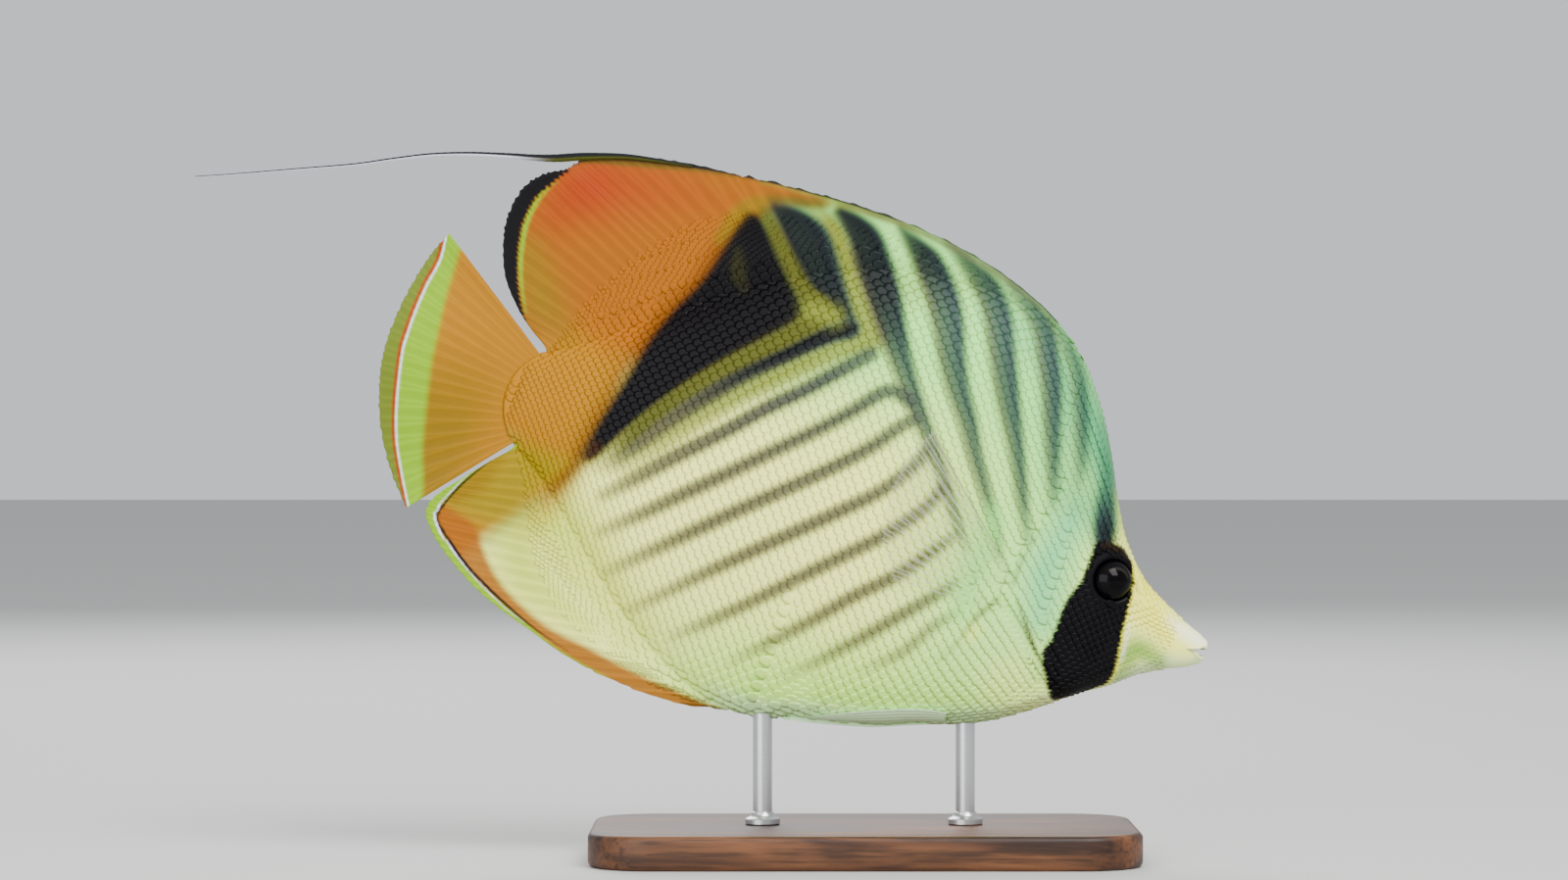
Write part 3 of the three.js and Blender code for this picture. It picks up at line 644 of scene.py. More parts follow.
# Dusky stripes of the upper flank, rear to front: behind, above, half width, strength.
UPPER_STRIPES = (
    (
        (77.3, 36.6, 0.9, 0.9), (75.2, 35.9, 2, 1), (73, 34.7, 3, 1), (71.1, 33.2, 3.4, 1),
        (68.2, 30, 3.1, 1), (65.2, 27, 2.4, 1), (62.2, 24.4, 1.5, 0.98),
    ),
    (
        (68.6, 39.2, 0.8, 1), (64.6, 37.2, 2.3, 1), (61.8, 34, 2.7, 1), (58.8, 30, 2.5, 1),
        (56.1, 26, 2.1, 0.98), (53.2, 22, 1.7, 0.92), (50, 18, 1.4, 0.88), (46.6, 14, 1.15, 0.86),
        (43.2, 10, 0.95, 0.82), (39.3, 5, 0.8, 0.76), (36.5, 1.5, 0.6, 0.3),
    ),
    (
        (60, 39.9, 0.5, 0.6), (55.4, 37.2, 2, 1), (52.1, 34, 2.4, 1), (49.5, 30, 2.4, 0.98),
        (47.5, 26, 2.1, 0.96), (45.2, 22, 1.8, 0.94), (42.3, 18, 1.5, 0.92), (39.8, 14, 1.25, 0.88),
        (36.9, 10, 1.05, 0.82), (33.4, 5, 0.8, 0.65), (31.4, 1.8, 0.5, 0.2),
    ),
    (
        (53, 40.2, 0.5, 0.5), (46.9, 37, 1.8, 0.88), (43.8, 34, 2.1, 0.96), (41.7, 30, 2, 0.98),
        (39.7, 26, 1.9, 0.98), (37.6, 22, 1.7, 0.96), (35.4, 18, 1.35, 0.92), (33.3, 14, 1.1, 0.9),
        (31.3, 10, 0.95, 0.8), (28.9, 5.5, 0.6, 0.4),
    ),
    (
        (46, 39.3, 0.5, 0.3), (41, 36.8, 1.2, 0.7), (37, 34, 1.6, 0.92), (34.7, 30, 1.6, 0.98),
        (32.8, 26, 1.5, 0.98), (31.3, 22, 1.3, 0.94), (29.8, 18, 1.1, 0.86), (28.3, 14, 0.85, 0.66),
        (27.2, 10.5, 0.6, 0.15),
    ),
    (
        (36, 35.6, 0.5, 0.4), (33, 32.9, 1, 0.6), (30.3, 29.8, 1.1, 0.66), (28.4, 26, 1.1, 0.72),
        (26.9, 22, 1, 0.72), (25.6, 18, 0.9, 0.55), (24.8, 14.5, 0.6, 0.15),
    ),
)
# Finer dusky lines of the lower flank, which meet the upper ones in chevrons.
LOWER_STRIPES = (
    (
        (61.8, 24.4, 1.3, 1), (65, 22, 1.4, 1), (69, 18, 1.4, 1), (73, 14, 1.4, 1), (76.2, 10, 1.3, 0.98),
        (80, 5, 1.25, 0.94), (83.3, 0, 1.12, 0.78), (86.2, -5, 0.75, 0.13),
    ),
    (
        (57.9, 22, 1, 0.72), (61.4, 18, 1, 0.81), (64.9, 14, 1, 0.83), (68.8, 10, 1, 0.83),
        (73.1, 5, 1, 0.8), (77.7, 0, 1, 0.74), (82.1, -5, 0.95, 0.6), (85.8, -9, 0.8, 0.3),
    ),
    (
        (50.4, 17.8, 1, 0.72), (53.9, 18.1, 1, 0.75), (57.4, 14, 0.95, 0.78), (60.9, 10, 0.94, 0.78),
        (65.7, 5, 0.94, 0.76), (70.5, 0, 0.94, 0.74), (75.4, -5, 0.94, 0.7), (80.3, -10, 0.9, 0.55),
        (84.5, -14, 0.75, 0.22),
    ),
    (
        (49, 16, 0.88, 0.65), (50.7, 14, 0.92, 0.7), (53.5, 10, 0.94, 0.75), (58, 5, 0.94, 0.75),
        (63, 0, 0.94, 0.74), (68.1, -5, 0.94, 0.72), (73, -10, 0.94, 0.68), (77.9, -15, 0.88, 0.5),
        (81.8, -19, 0.75, 0.2),
    ),
    (
        (46.3, 12, 0.81, 0.62), (46.9, 10, 0.85, 0.67), (50, 5, 0.9, 0.7), (54.7, 0, 0.92, 0.72),
        (59.7, -5, 0.92, 0.72), (64.7, -10, 0.92, 0.7), (69.6, -15, 0.88, 0.6), (74.3, -20, 0.8, 0.42),
        (77.2, -23, 0.7, 0.18),
    ),
    (
        (42.4, 8.2, 0.75, 0.62), (43.5, 5, 0.81, 0.65), (47, 0, 0.88, 0.68), (51.6, -5, 0.9, 0.7),
        (56.3, -10, 0.9, 0.7), (60.9, -15, 0.88, 0.66), (65.8, -20, 0.85, 0.55), (70, -24, 0.7, 0.2),
    ),
    (
        (38.5, 2.8, 0.6, 0.3), (40.3, 0, 0.75, 0.55), (43.9, -5, 0.85, 0.66), (48.6, -10, 0.88, 0.68),
        (52.7, -15, 0.88, 0.64), (57.2, -20, 0.8, 0.5), (61.2, -24.4, 0.62, 0.16),
    ),
    (
        (36.2, -3.4, 0.6, 0.3), (37.8, -5.6, 0.75, 0.5), (41.5, -10, 0.85, 0.6), (45.6, -15, 0.83, 0.6),
        (50, -20, 0.75, 0.44), (53.4, -23.6, 0.62, 0.1),
    ),
    ((34.4, -7, 0.6, 0.2), (36.9, -10, 0.7, 0.36), (39.8, -15, 0.75, 0.4), (44, -19.2, 0.62, 0.1)),
)
OLIVE_BAND = (
    (78.6, 35.8, 0.7, 0.7), (76.3, 33.7, 0.8, 1), (74, 31.5, 0.85, 1), (71.6, 29.2, 0.9, 1),
    (69.2, 27.2, 1, 1), (66.2, 25.2, 1.5, 1), (68.4, 21.4, 1.1, 1), (71.6, 18, 1.05, 1), (75.4, 14, 1, 1),
    (78.8, 10, 1, 1), (82.3, 5, 1, 1), (85.1, 0, 1, 0.85), (87.5, -5, 0.8, 0.25),
)
PALE_OLIVE_BAND = (
    (73, 38.6, 0.6, 0.6), (69.4, 37, 1.1, 1), (66.4, 34, 1.3, 1), (63.2, 30, 1.5, 0.95),
    (60.6, 27, 1.6, 0.9), (59, 24.6, 1.8, 0.9), (62, 21.8, 1.4, 0.85), (66.3, 18, 1.35, 0.85),
    (70.2, 14, 1.35, 0.85), (73.8, 10, 1.3, 0.8), (77.6, 5, 1.2, 0.7), (81, 0, 1.1, 0.5),
    (84.2, -5, 1, 0.15),
)
BLOTCH = (
    (81, 34.7), (79.6, 34.9), (78, 34), (75.3, 31.2), (72.6, 28.5), (70.4, 26.3), (68.8, 24.5),
    (69.6, 22.4), (72.6, 18.9), (76.4, 14.6), (79.8, 10.2), (83.2, 5.2), (86, 0.2), (88.4, -4.6),
    (90.2, -5), (90, -1), (89, 4), (88, 9), (87, 14), (85.5, 18.5), (83.5, 23), (82.4, 27), (81.7, 31),
)
ANAL_ORANGE = (
    (60, -31.2), (66, -30.9), (73, -30.5), (80.7, -29.5), (86, -28.9), (90, -27.7), (94, -25.9),
    (97, -23.7), (99.2, -21.4), (101.2, -19.2), (104, -18.4), (107, -17.8), (110, -17.5), (110, -22),
    (102, -28), (90, -33), (75, -35), (60, -33.5),
)
EYE_BAR = (
    (14.5, 8.1), (13.9, 7.6), (13.2, 6), (12.6, 4), (12.2, 0.6), (12, -1.5), (11.5, -4), (11, -7.5),
    (11.5, -9.5), (12.5, -10.3), (14, -11.9), (16, -13.2), (17.8, -14), (19.7, -11.8), (21.4, -9),
    (21.6, -7.6), (21.1, -6), (21.1, -2), (20.6, 1), (20, 3), (19.9, 6), (19.6, 8.8), (16.5, 9.2),
    (15.5, 8.9),
)
DORSAL_BLACK_EDGE = (
    (105.7, 31.8), (108.4, 31.2), (110.9, 29), (112.2, 25), (112, 21), (110.9, 17), (108.9, 13.4),
    (106, 10.2), (103.4, 8.2), (101, 6.4), (101.4, 7.1), (103.5, 9), (105.3, 11.2), (107, 14.2),
    (108.2, 17.2), (109, 20.2), (109.3, 23), (108.8, 26.5), (107.3, 29.2),
)


def paint_ground(paint, tones):
    """Cream body, greener towards the back and duller below, with a paler belly edge that is partly painted
    light, and the orange rear.
    """
    behind, up = paint.places.T
    paint.blend(tones.green_cream, 0.95 * smooth(2, 27, up) * smooth(12, 20, behind))
    paint.blend(tones.green_cream, 0.75 * smooth(52, 30, behind) * smooth(16, 22, behind))
    paint.blend(tones.dull_cream, 0.9 * smooth(-8, -24, up) * smooth(84, 56, behind))
    paint.wash(tones.cream, ((50, -2, 8, 0.3), (60, -10, 11, 0.7), (76, -18, 8, 0.6)))
    paint.wash(tones.nape, (
        (19.2, 12, 3, 0.9), (21.5, 18, 3.6, 1), (26, 24, 4.8, 0.95), (33, 30, 4.8, 0.7), (43, 34, 4, 0.4),
    ))
    paint.wash(tones.nape, ((24, 12, 3.4, 0.7), (27, 15, 3.7, 0.5), (31, 22, 4, 0.3)))
    paint.wash(tones.olive_gold, (
        (50, 35, 3, 0.3), (57, 32.5, 3.6, 0.5), (64, 31, 3.5, 0.6), (60, 25, 4, 0.4), (68, 13, 3, 0.3),
    ))
    # Paler belly edge: partly the belly's own white, partly painted light that lightens the underside
    # against the shade from above and tints it green like light from the water.
    edge = smooth(3.5, 0.5, up - belly(behind)) * smooth(66, 56, behind) * (up < 0)
    paint.blend(tones.white, 0.4 * edge)
    paint.blend(tones.cheek, 0.3 * edge)
    paint.wash(tones.rear_cream, (
        (76, -25, 5, 0.5), (84, -20, 6, 0.75), (91, -15, 6, 1), (95, -18, 5, 1), (91, -24, 5, 0.9),
        (82, -27, 3, 0.6),
    ))
    rear_slope = up - 0.9 * np.clip(behind - 95, 0, 5)
    rear = smooth(86, 90.5, behind + 0.2 * np.minimum(up, 0)) * smooth(-21, -8, rear_slope)
    paint.blend(tones.gold, rear)
    upper = smooth(80.5, 83, behind - 0.32 * (24 - up)) * smooth(5, 12, up)
    paint.blend(tones.amber, upper)
    paint.wash(tones.gold, ((92, 3, 4.5, 0.9), (96, 7, 5, 0.95), (99, 1, 4, 0.9)))
    paint.wash(tones.amber, ((86, 37, 2.6, 0.9), (79, 38.4, 1.9, 0.8), (73, 39.4, 1.3, 0.7)))
    paint.wash(tones.olive_gold, (
        (74, 39.4, 1.2, 0.4), (66, 40.4, 0.9, 0.7), (58, 40.6, 0.7, 0.4), (50, 39.8, 0.6, 0.1),
    ))
    paint.wash(tones.red_orange, (
        (84, 35.5, 3, 0.2), (95, 33, 5, 0.6), (103, 30, 6, 1), (106, 24, 4, 0.5),
    ))
    paint.wash(tones.ochre, ((98, 10, 2.5, 0.4), (103, 13, 4, 0.9), (107, 19, 3, 0.8)))
    paint.wash(tones.ochre, ((90.5, 10, 1.6, 0.3), (92, -2, 2, 0.2), (93, -8, 2, 0.2)))


def paint_anal_fin(paint, tones):
    """Golden rear lobe, orange band and the thin lines along the anal fin's edge."""
    behind, up = paint.places.T
    lobe = smooth(-4, -8, up) * smooth(-1.6, 1.6, (behind - 93.4) + 0.58 * (up + 10))
    paint.wash(tones.olive_gold, ((94.5, -13, 1.6, 0.5), (97.2, -17, 1.6, 0.6), (98.8, -20.4, 1.4, 0.4)))
    paint.blend(tones.gold, lobe * smooth(-29, -24, up))
    paint.blend(tones.ochre, 0.5 * lobe * smooth(-19, -16, up))
    paint.blend(tones.lime, 0.2 * lobe * smooth(-21, -17, up))
    paint.wash(tones.ochre, ((101.4, -9.5, 1.2, 0.5), (103, -13.5, 1.8, 0.8), (105, -16.4, 1.3, 0.8)))
    paint.area(tones.amber, ANAL_ORANGE, 0.7, 0.95)
    paint.wash(tones.brown, ((57.5, -31, 0.5, 0.7), (61, -31.7, 0.6, 0.8), (65.5, -32.3, 0.5, 0.5)))
    paint.stroke(tones.lime, (
        (76, -32.8, 0.3, 0.3), (84, -31.7, 0.45, 0.7), (90, -29.9, 0.6, 0.9), (98, -27.1, 0.75, 1),
        (104.3, -23.5, 0.9, 1), (107.3, -20.5, 1, 1), (107.5, -18.2, 0.95, 1), (105.9, -14.7, 0.75, 1),
        (103.7, -11.2, 0.55, 0.9), (101.6, -8.6, 0.45, 0.8), (99.6, -6.9, 0.4, 0.5),
    ), 0.2)
    paint.stroke(tones.lilac, (
        (90, -29.35, 0.05, 0.3), (94, -28.1, 0.05, 0.7), (99, -25.7, 0.07, 1), (104.4, -22.4, 0.09, 1),
        (106.4, -20.5, 0.11, 1), (106.8, -18.8, 0.1, 1), (105.4, -14.9, 0.06, 0.7),
        (104.4, -13, 0.04, 0.3),
    ), 0.08)
    paint.stroke(tones.black, (
        (83, -31, 0.1, 0.3), (90, -29.15, 0.18, 0.85), (99, -25.4, 0.22, 1), (104.1, -22.1, 0.22, 1),
        (106.1, -20.4, 0.2, 1), (106.4, -18.8, 0.2, 1), (105, -14.9, 0.18, 0.95),
        (103.2, -11.6, 0.14, 0.8), (102, -9.8, 0.1, 0.4),
    ), 0.12)


def paint_dorsal_fin(paint, tones):
    """Dark line along the top and the black margin behind the soft rays."""
    paint.stroke(tones.tan, (
        (35, 35, 0.3, 0.3), (40, 37.2, 0.45, 0.6), (48, 39.4, 0.5, 0.7), (58, 40.5, 0.45, 0.6),
        (68, 40.5, 0.4, 0.4),
    ), 0.4)
    paint.stroke(tones.olive, (
        (80, 39.5, 0.2, 0.4), (88, 38.1, 0.35, 0.6), (96, 36.1, 0.5, 0.7), (104, 33.7, 0.4, 0.7),
        (106, 32.1, 0.2, 0.5),
    ), 0.3)
    line = [(b, float(dorsal_top(b)), 0.16 + 0.14 * (b > 60), 0.95) for b in range(35, 88, 3)]
    paint.stroke(tones.blue_black, line, 0.16)
    paint.stroke(tones.blue_black, (
        (78, 40.1, 0.22, 0.95), (84, 39.3, 0.35, 1), (90, 38.3, 0.5, 1), (98, 36.6, 0.65, 1),
        (104, 34.5, 0.65, 1), (106, 32.6, 0.4, 0.9),
    ), 0.2)
    paint.stroke(tones.lime, (
        (106.6, 30.2, 0.1, 0.1), (108.4, 26.6, 0.3, 0.7), (108.9, 23, 0.32, 0.9), (108.5, 20, 0.3, 0.9),
        (107.7, 17, 0.3, 0.8), (106.4, 14, 0.25, 0.6), (104.7, 11, 0.2, 0.3),
    ), 0.25)
    behind, up = paint.places.T
    teeth = 0.35 * np.sin(up * 9.5) + 0.15 * np.sin(up * 23 + behind)
    paint.area(tones.black, DORSAL_BLACK_EDGE, 0.16, ragged=teeth * 0.5)


def paint_stripes(paint, tones):
    """Dusky chevrons, olive bands and the black blotch of the rear back."""
    paint.stroke(tones.olive_gold, [(b, u, 1.4 * w, s) for b, u, w, s in PALE_OLIVE_BAND], 1.2)
    paint.stroke(tones.olive, [(b, u, 2.3 * w, 0.95 * s) for b, u, w, s in OLIVE_BAND], 0.9)
    paint.stroke(tones.ochre, ((83, 30, 0.9, 0.6), (81.2, 34.8, 1.2, 0.9), (78, 37.4, 1.2, 0.9)), 1.1)
    paint.stroke(tones.olive, ((78, 37.4, 0.9, 0.5), (75, 38.4, 1, 0.8), (71.6, 39.3, 0.8, 0.6)), 0.9)
    for stripe in UPPER_STRIPES:
        paint.stroke(tones.dusky, stripe, 0.85, tint=tones.tan)
        paint.stroke(tones.dusky, [(b - 0.2, u, w * 0.7, s * 0.75) for b, u, w, s in stripe], 0.9)
    for number, stripe in enumerate(UPPER_STRIPES[:4]):
        lowest = (14, 20, 28, 31)[number]
        dark = [(b, u, w * 0.85, s * smooth(lowest, lowest + 12, u) * 0.92) for b, u, w, s in stripe]
        paint.stroke(tones.blue_black, dark, 0.9)
    for stripe in LOWER_STRIPES:
        upper = [(b, u, w * 1.05, min(1, 1.2 * s * smooth(-30, 4, u))) for b, u, w, s in stripe]
        lower = [(b, u, w * 1.05, min(1, 1.3 * s * smooth(34, -14, u))) for b, u, w, s in stripe]
        paint.stroke(tones.dusky, upper, 0.75)
        paint.stroke(tones.tan, lower, 0.75)
    paint.wash(tones.olive_gold, (
        (65, 18.6, 1.2, 0.4), (69, 14.6, 1.3, 0.5), (73, 10.4, 1.4, 0.5), (77.4, 5.2, 1.4, 0.5),
        (81, 0.2, 1.3, 0.5), (84.4, -4.6, 1.2, 0.3),
    ))
    front = LOWER_STRIPES[0]
    paint.stroke(tones.blue_black, [(b, u, w * 0.75, s * smooth(-4, 20, u)) for b, u, w, s in front], 0.6)
    paint.area(tones.brown, [(b + 1.2 * (b > 81), u) for b, u in BLOTCH], 1.8, 0.75)
    paint.area(tones.black, BLOTCH, 0.8)
    paint.stroke(tones.olive, OLIVE_BAND, 0.6)
    paint.wash(tones.olive_gold, ((64.5, 25.2, 1.6, 0.8), (67.5, 25, 1.6, 0.8)))
    paint.wash(tones.olive, ((80, 29, 0.9, 0.14), (79, 26.4, 1.2, 0.2), (77.6, 24.6, 0.9, 0.1)))
    paint.wash(tones.olive_gold, (
        (80, 39.4, 0.8, 0.9), (75, 40.1, 0.8, 0.9), (70, 40.5, 0.6, 0.8), (64, 40.8, 0.5, 0.6),
        (56, 40.4, 0.4, 0.3),
    ))
    paint.wash(tones.amber, (
        (86, 37.4, 1.6, 0.9), (80, 38.3, 1.5, 0.95), (75.6, 39.1, 1, 0.95), (71, 39.7, 0.7, 0.6),
    ))
    paint.wash(tones.ochre, ((83, 30, 1, 0.5), (81.6, 34.6, 1.1, 0.8), (79.6, 36.6, 1.2, 0.7)))
    paint.wash(tones.olive, ((78.4, 37.6, 0.9, 0.5), (75, 38.6, 0.9, 0.6), (71.6, 39.4, 0.8, 0.6)))
    paint.wash(tones.olive_gold, ((71, 39.8, 0.6, 0.5), (66, 40.4, 0.5, 0.5), (60, 40.5, 0.4, 0.2)))
    paint.stroke(tones.brown, (
        (89.2, -3.4, 1, 0.5), (90.7, -6.6, 0.9, 0.6), (92.2, -9.8, 0.7, 0.5), (93.4, -12.4, 0.5, 0.2),
    ), 1.1)


def paint_head(paint, tones):
    """Snout, cheek, gill slit, breast and the black bar through the eye, with some painted shade and
    highlights.
    """
    up = paint.places[:, 1]
    paint.wash(tones.snout_yellow, ((8, 2.4, 2.4, 0.7), (10.5, 4.6, 2.2, 0.95), (13, 7.6, 1.4, 0.7)))
    paint.wash(tones.snout_yellow, ((16, 11.5, 1.6, 0.4), (19, 16, 1.2, 0.15)))
    paint.wash(tones.snout_yellow, ((3, -1.2, 1.6, 0.5), (7, 0.4, 2.2, 0.7), (10.5, 1.5, 2.2, 0.6)))
    paint.wash(tones.snout_tan, ((6, -3.6, 1.6, 0.8), (9.5, -3.6, 2.4, 0.95), (10.5, -7.5, 1.8, 0.7)))
    # Dark line along the gap between the lips: painted shade of the mouth's opening.
    paint.stroke(tones.dusky, (
        (2.5, -0.95, 0.05, 0.8), (1.6, -0.8, 0.14, 1), (0.7, -0.6, 0.2, 1), (0, -0.5, 0.2, 1),
    ), 0.12)
    # White on the upper lip and along the top of the snout's tip: the lips' own pale tint and a painted
    # highlight.
    paint.wash(tones.white, ((0, 0.9, 1, 0.7), (3, 1, 1.4, 0.6), (6, 2, 1, 0.3)))
    paint.wash(tones.cheek, ((24.6, 9, 2.8, 0.75), (25, 2, 3.6, 0.85), (23.4, -4, 2.8, 0.7)))
    paint.wash(tones.cream, ((17, -17, 2.5, 0.5), (24, -14, 5, 0.5)))
    # Tan line along the upper gill cover's edge and the dark gill slit below it: painted shade under the
    # cover's rim and in the gill opening.
    paint.stroke(tones.tan, ((27.6, 7.6, 0.3, 0.2), (28.6, 3, 0.35, 0.4), (28.7, -0.6, 0.35, 0.5)), 0.35)
    paint.stroke(tones.slit, (
        (27.6, -2.5, 0.15, 0.5), (26, -4.3, 0.22, 0.9), (24.3, -6.3, 0.3, 1), (23, -7.8, 0.24, 0.9),
        (20.1, -11, 0.15, 0.4),
    ), 0.25)
    # Dark line from the gill slit down along the pectoral fin's base: a painted shadow at the front edge of
    # the base.
    paint.stroke(tones.slit, (
        (29.8, -2.8, 0.2, 0.3), (30.7, -4.8, 0.35, 0.6), (32, -7.2, 0.4, 0.55), (33, -10.8, 0.35, 0.3),
        (34.4, -14, 0.5, 0.2),
    ), 0.45)
    # Pale yellow just below that line: partly the breast's own pale colour, partly a painted highlight on
    # its lit rim.
    paint.wash(tones.snout_yellow, ((31.3, -8.6, 1.2, 0.35), (31.6, -9.6, 1.2, 0.3)))
    paint.wash(tones.pectoral_base, ((34.2, 7, 2.2, 0.5), (34.4, 0, 2.2, 0.7), (34.4, -6.5, 2, 0.6)))
    paint.stroke(tones.dusky, (
        (18.9, 9, 1.5, 1), (19.5, 11.2, 1.7, 1), (20.3, 13.8, 1.5, 0.9), (21.1, 17, 1.2, 0.6),
        (22.6, 20.6, 1, 0.35), (24.5, 24.5, 0.9, 0.15),
    ), 0.9)
    paint.stroke(tones.blue_black, (
        (18.2, 8.8, 1, 0.85), (19.2, 10.6, 1.1, 0.75), (19.9, 12.8, 0.8, 0.3),
    ), 0.9)
    paint.wash(tones.snout_yellow, (
        (15.2, 10.2, 0.7, 0.9), (16.6, 12.4, 0.6, 0.8), (18.2, 15.2, 0.5, 0.4),
    ))
    ragged = 0.14 * np.sin(up * 11.5) + 0.08 * np.sin(up * 27)
    paint.area(tones.snout_yellow, [(b - 0.3, min(u, 7.9)) for b, u in EYE_BAR], 0.22, 0.8, ragged)
    paint.area(tones.black, EYE_BAR, 0.2, ragged=ragged)
    paint.wash(tones.slit, ((15.2, 8.6, 0.5, 0.2), (17, 8.9, 0.6, 0.25), (18.6, 8.6, 0.5, 0.15)))
    paint.stroke(tones.lilac, (
        (11.55, -0.5, 0.1, 0.5), (11.05, -2.8, 0.12, 0.8), (10.55, -6, 0.1, 0.4),
    ), 0.12)
    paint.stroke(tones.slit, (
        (12.5, 5.6, 0.12, 0.3), (12.3, 4.6, 0.14, 0.5), (12.1, 4, 0.1, 0.3),
    ), 0.15)


def paint_tail_fin(paint, tones):
    """Golden base, lime band, pale and red lines and the brownish clear rim of the tail fin."""
    behind, up = paint.places.T
    paint.blend(tones.gold, smooth(-8, 8, up))
    paint.blend(tones.gold, 0.9 * smooth(109, 101, behind))
    line = profile([(u, b) for b, u in reversed((
        (119.1, 18.5), (118.5, 14), (119, 10), (119.2, 6), (119.1, 2), (118.9, 0), (118, -4), (116.9, -8),
        (115.4, -12), (113.2, -16), (110.4, -20.5),
    ))])
    inner = profile([(u, b) for b, u in reversed((
        (116.5, 18), (116.2, 15), (115.8, 9), (115.1, 4), (114.5, 0), (113.6, -4), (112.6, -8),
        (111.5, -12), (109.9, -16), (108.8, -20),
    ))])
    out = behind - line(up)
    paint.blend(tones.lime, smooth(-0.6, 0.7, behind - inner(up)))
    paint.blend(tones.red_orange, smooth(0.05, 0.2, out))
    paint.blend(tones.clear_rim, smooth(0.4, 0.75, out))
    paint.blend(tones.lilac, bump(out, -0.1, 0.13))


def paint_mesh(mesh, tones, kind="body"):
    """Stores the markings at each vertex of a finished piece."""
    behind, up = to_fish(positions_of(mesh))
    paint = Painter(behind, up, tones.ochre if kind == "tail" else tones.cream)
    if kind == "tail":
        paint_tail_fin(paint, tones)
    else:
        paint_ground(paint, tones)
        paint_anal_fin(paint, tones)
        paint_stripes(paint, tones)
        paint_dorsal_fin(paint, tones)
        paint_head(paint, tones)
    store_colour(mesh, "markings", paint.colour)


def join(tree, node, links):
    """Joins a node's sockets to outputs, or gives them values."""
    for socket, value in links.items():
        if isinstance(value, bpy.types.NodeSocket):
            tree.links.new(value, node.inputs[socket])
        else:
            node.inputs[socket].default_value = value
    return node


def add_node(tree, kind, links=None, **settings):
    """A node with its settings, its sockets joined or given values."""
    node = tree.nodes.new(kind)
    for name, value in settings.items():
        setattr(node, name, value)
    return join(tree, node, links or {})


def add_sockets(tree, inputs, outputs):
    """Named sockets of a node group: inputs by label with kind and default, outputs with kind."""
    for label, (kind, value) in inputs.items():
        socket = tree.interface.new_socket(label, in_out="INPUT", socket_type="NodeSocket" + kind)
        if value is not None:
            socket.default_value = value
    for label, kind in outputs.items():
        tree.interface.new_socket(label, in_out="OUTPUT", socket_type="NodeSocket" + kind)


def math_node(tree, operation, first, second):
    """The result of one sum."""
    return add_node(tree, "ShaderNodeMath", {0: first, 1: second}, operation=operation).outputs[0]


def mix_colour(tree, share, first, second):
    """Two colours mixed by a share."""
    node = add_node(tree, "ShaderNodeMix", data_type="RGBA")
    return join(tree, node, {0: share, 6: first, 7: second}).outputs[2]


def noise(tree, scale, detail, stretch=None, distortion=0.0):
    """Noise on the object's own coordinates, stretched along its axes where factors are given."""
    place = add_node(tree, "ShaderNodeTexCoord").outputs["Object"]
    if stretch:
        place = add_node(tree, "ShaderNodeMapping", {"Vector": place, "Scale": stretch}).outputs[0]
    links = {"Vector": place, "Scale": scale, "Detail": detail, "Distortion": distortion}
    return add_node(tree, "ShaderNodeTexNoise", links).outputs["Fac"]


def ranged(tree, value, low, high, start=0.0, end=1.0):
    """A value taken from start and end to low and high."""
    links = {"Value": value, "From Min": start, "From Max": end, "To Min": low, "To Max": high}
    return add_node(tree, "ShaderNodeMapRange", links).outputs[0]


def fine_bump(tree, height, strength, millimetres):
    """Normals of a fine relief."""
    links = {"Height": height, "Strength": strength, "Distance": millimetres * MM}
    return add_node(tree, "ShaderNodeBump", links).outputs["Normal"]


def pigment_group():
    """Fine mottling over painted markings, with darker scale rims and, on fins, painted shade in the
    grooves between rays; shared by skin, scales, fins and eyes.
    """
    name = "Pigment"
    if name in bpy.data.node_groups:
        return bpy.data.node_groups[name]
    tree = bpy.data.node_groups.new(name, "ShaderNodeTree")
    add_sockets(tree, {
        "Markings": ("Color", (1, 1, 1, 1)),
        "Mottle": ("Float", 0.1),
        "Rim": ("Float", 0.0),
        "Rim And Groove Shade Depth": ("Float", 0.3),
        "Roughness": ("Float", 0.4),
    }, {"Colour": "Color", "Roughness": "Float", "Height": "Float"})
    given = add_node(tree, "NodeGroupInput").outputs
    coarse = noise(tree, 420.0, 3.0)
    fine = noise(tree, 2600.0, 2.0)
    blotchy = math_node(tree, "SUBTRACT", math_node(tree, "ADD", coarse, fine), 1.0)
    swing = math_node(tree, "MULTIPLY", blotchy, given["Mottle"])
    rim = math_node(tree, "MULTIPLY", given["Rim"], given["Rim And Groove Shade Depth"])
    value = math_node(tree, "SUBTRACT", math_node(tree, "ADD", swing, 1.0), rim)
    shaded = add_node(tree, "ShaderNodeHueSaturation", {"Value": value, "Color": given["Markings"]})
    rough = math_node(tree, "ADD", given["Roughness"], math_node(tree, "MULTIPLY", blotchy, 0.12))
    made = {"Colour": shaded.outputs["Color"], "Roughness": rough, "Height": fine}
    add_node(tree, "NodeGroupOutput", made)
    return tree


def new_material(name):
    """A material with an empty tree but for its output, and a Principled BSDF joined to it."""
    material = bpy.data.materials.new(name)
    material.use_nodes = True
    tree = material.node_tree
    tree.nodes.clear()
    shader = tree.nodes.new("ShaderNodeBsdfPrincipled")
    output = tree.nodes.new("ShaderNodeOutputMaterial")
    tree.links.new(shader.outputs[0], output.inputs["Surface"])
    return material, tree, shader


def attribute(tree, name, output):
    """An attribute of the mesh, read by a material."""
    return add_node(tree, "ShaderNodeAttribute", attribute_name=name).outputs[output]


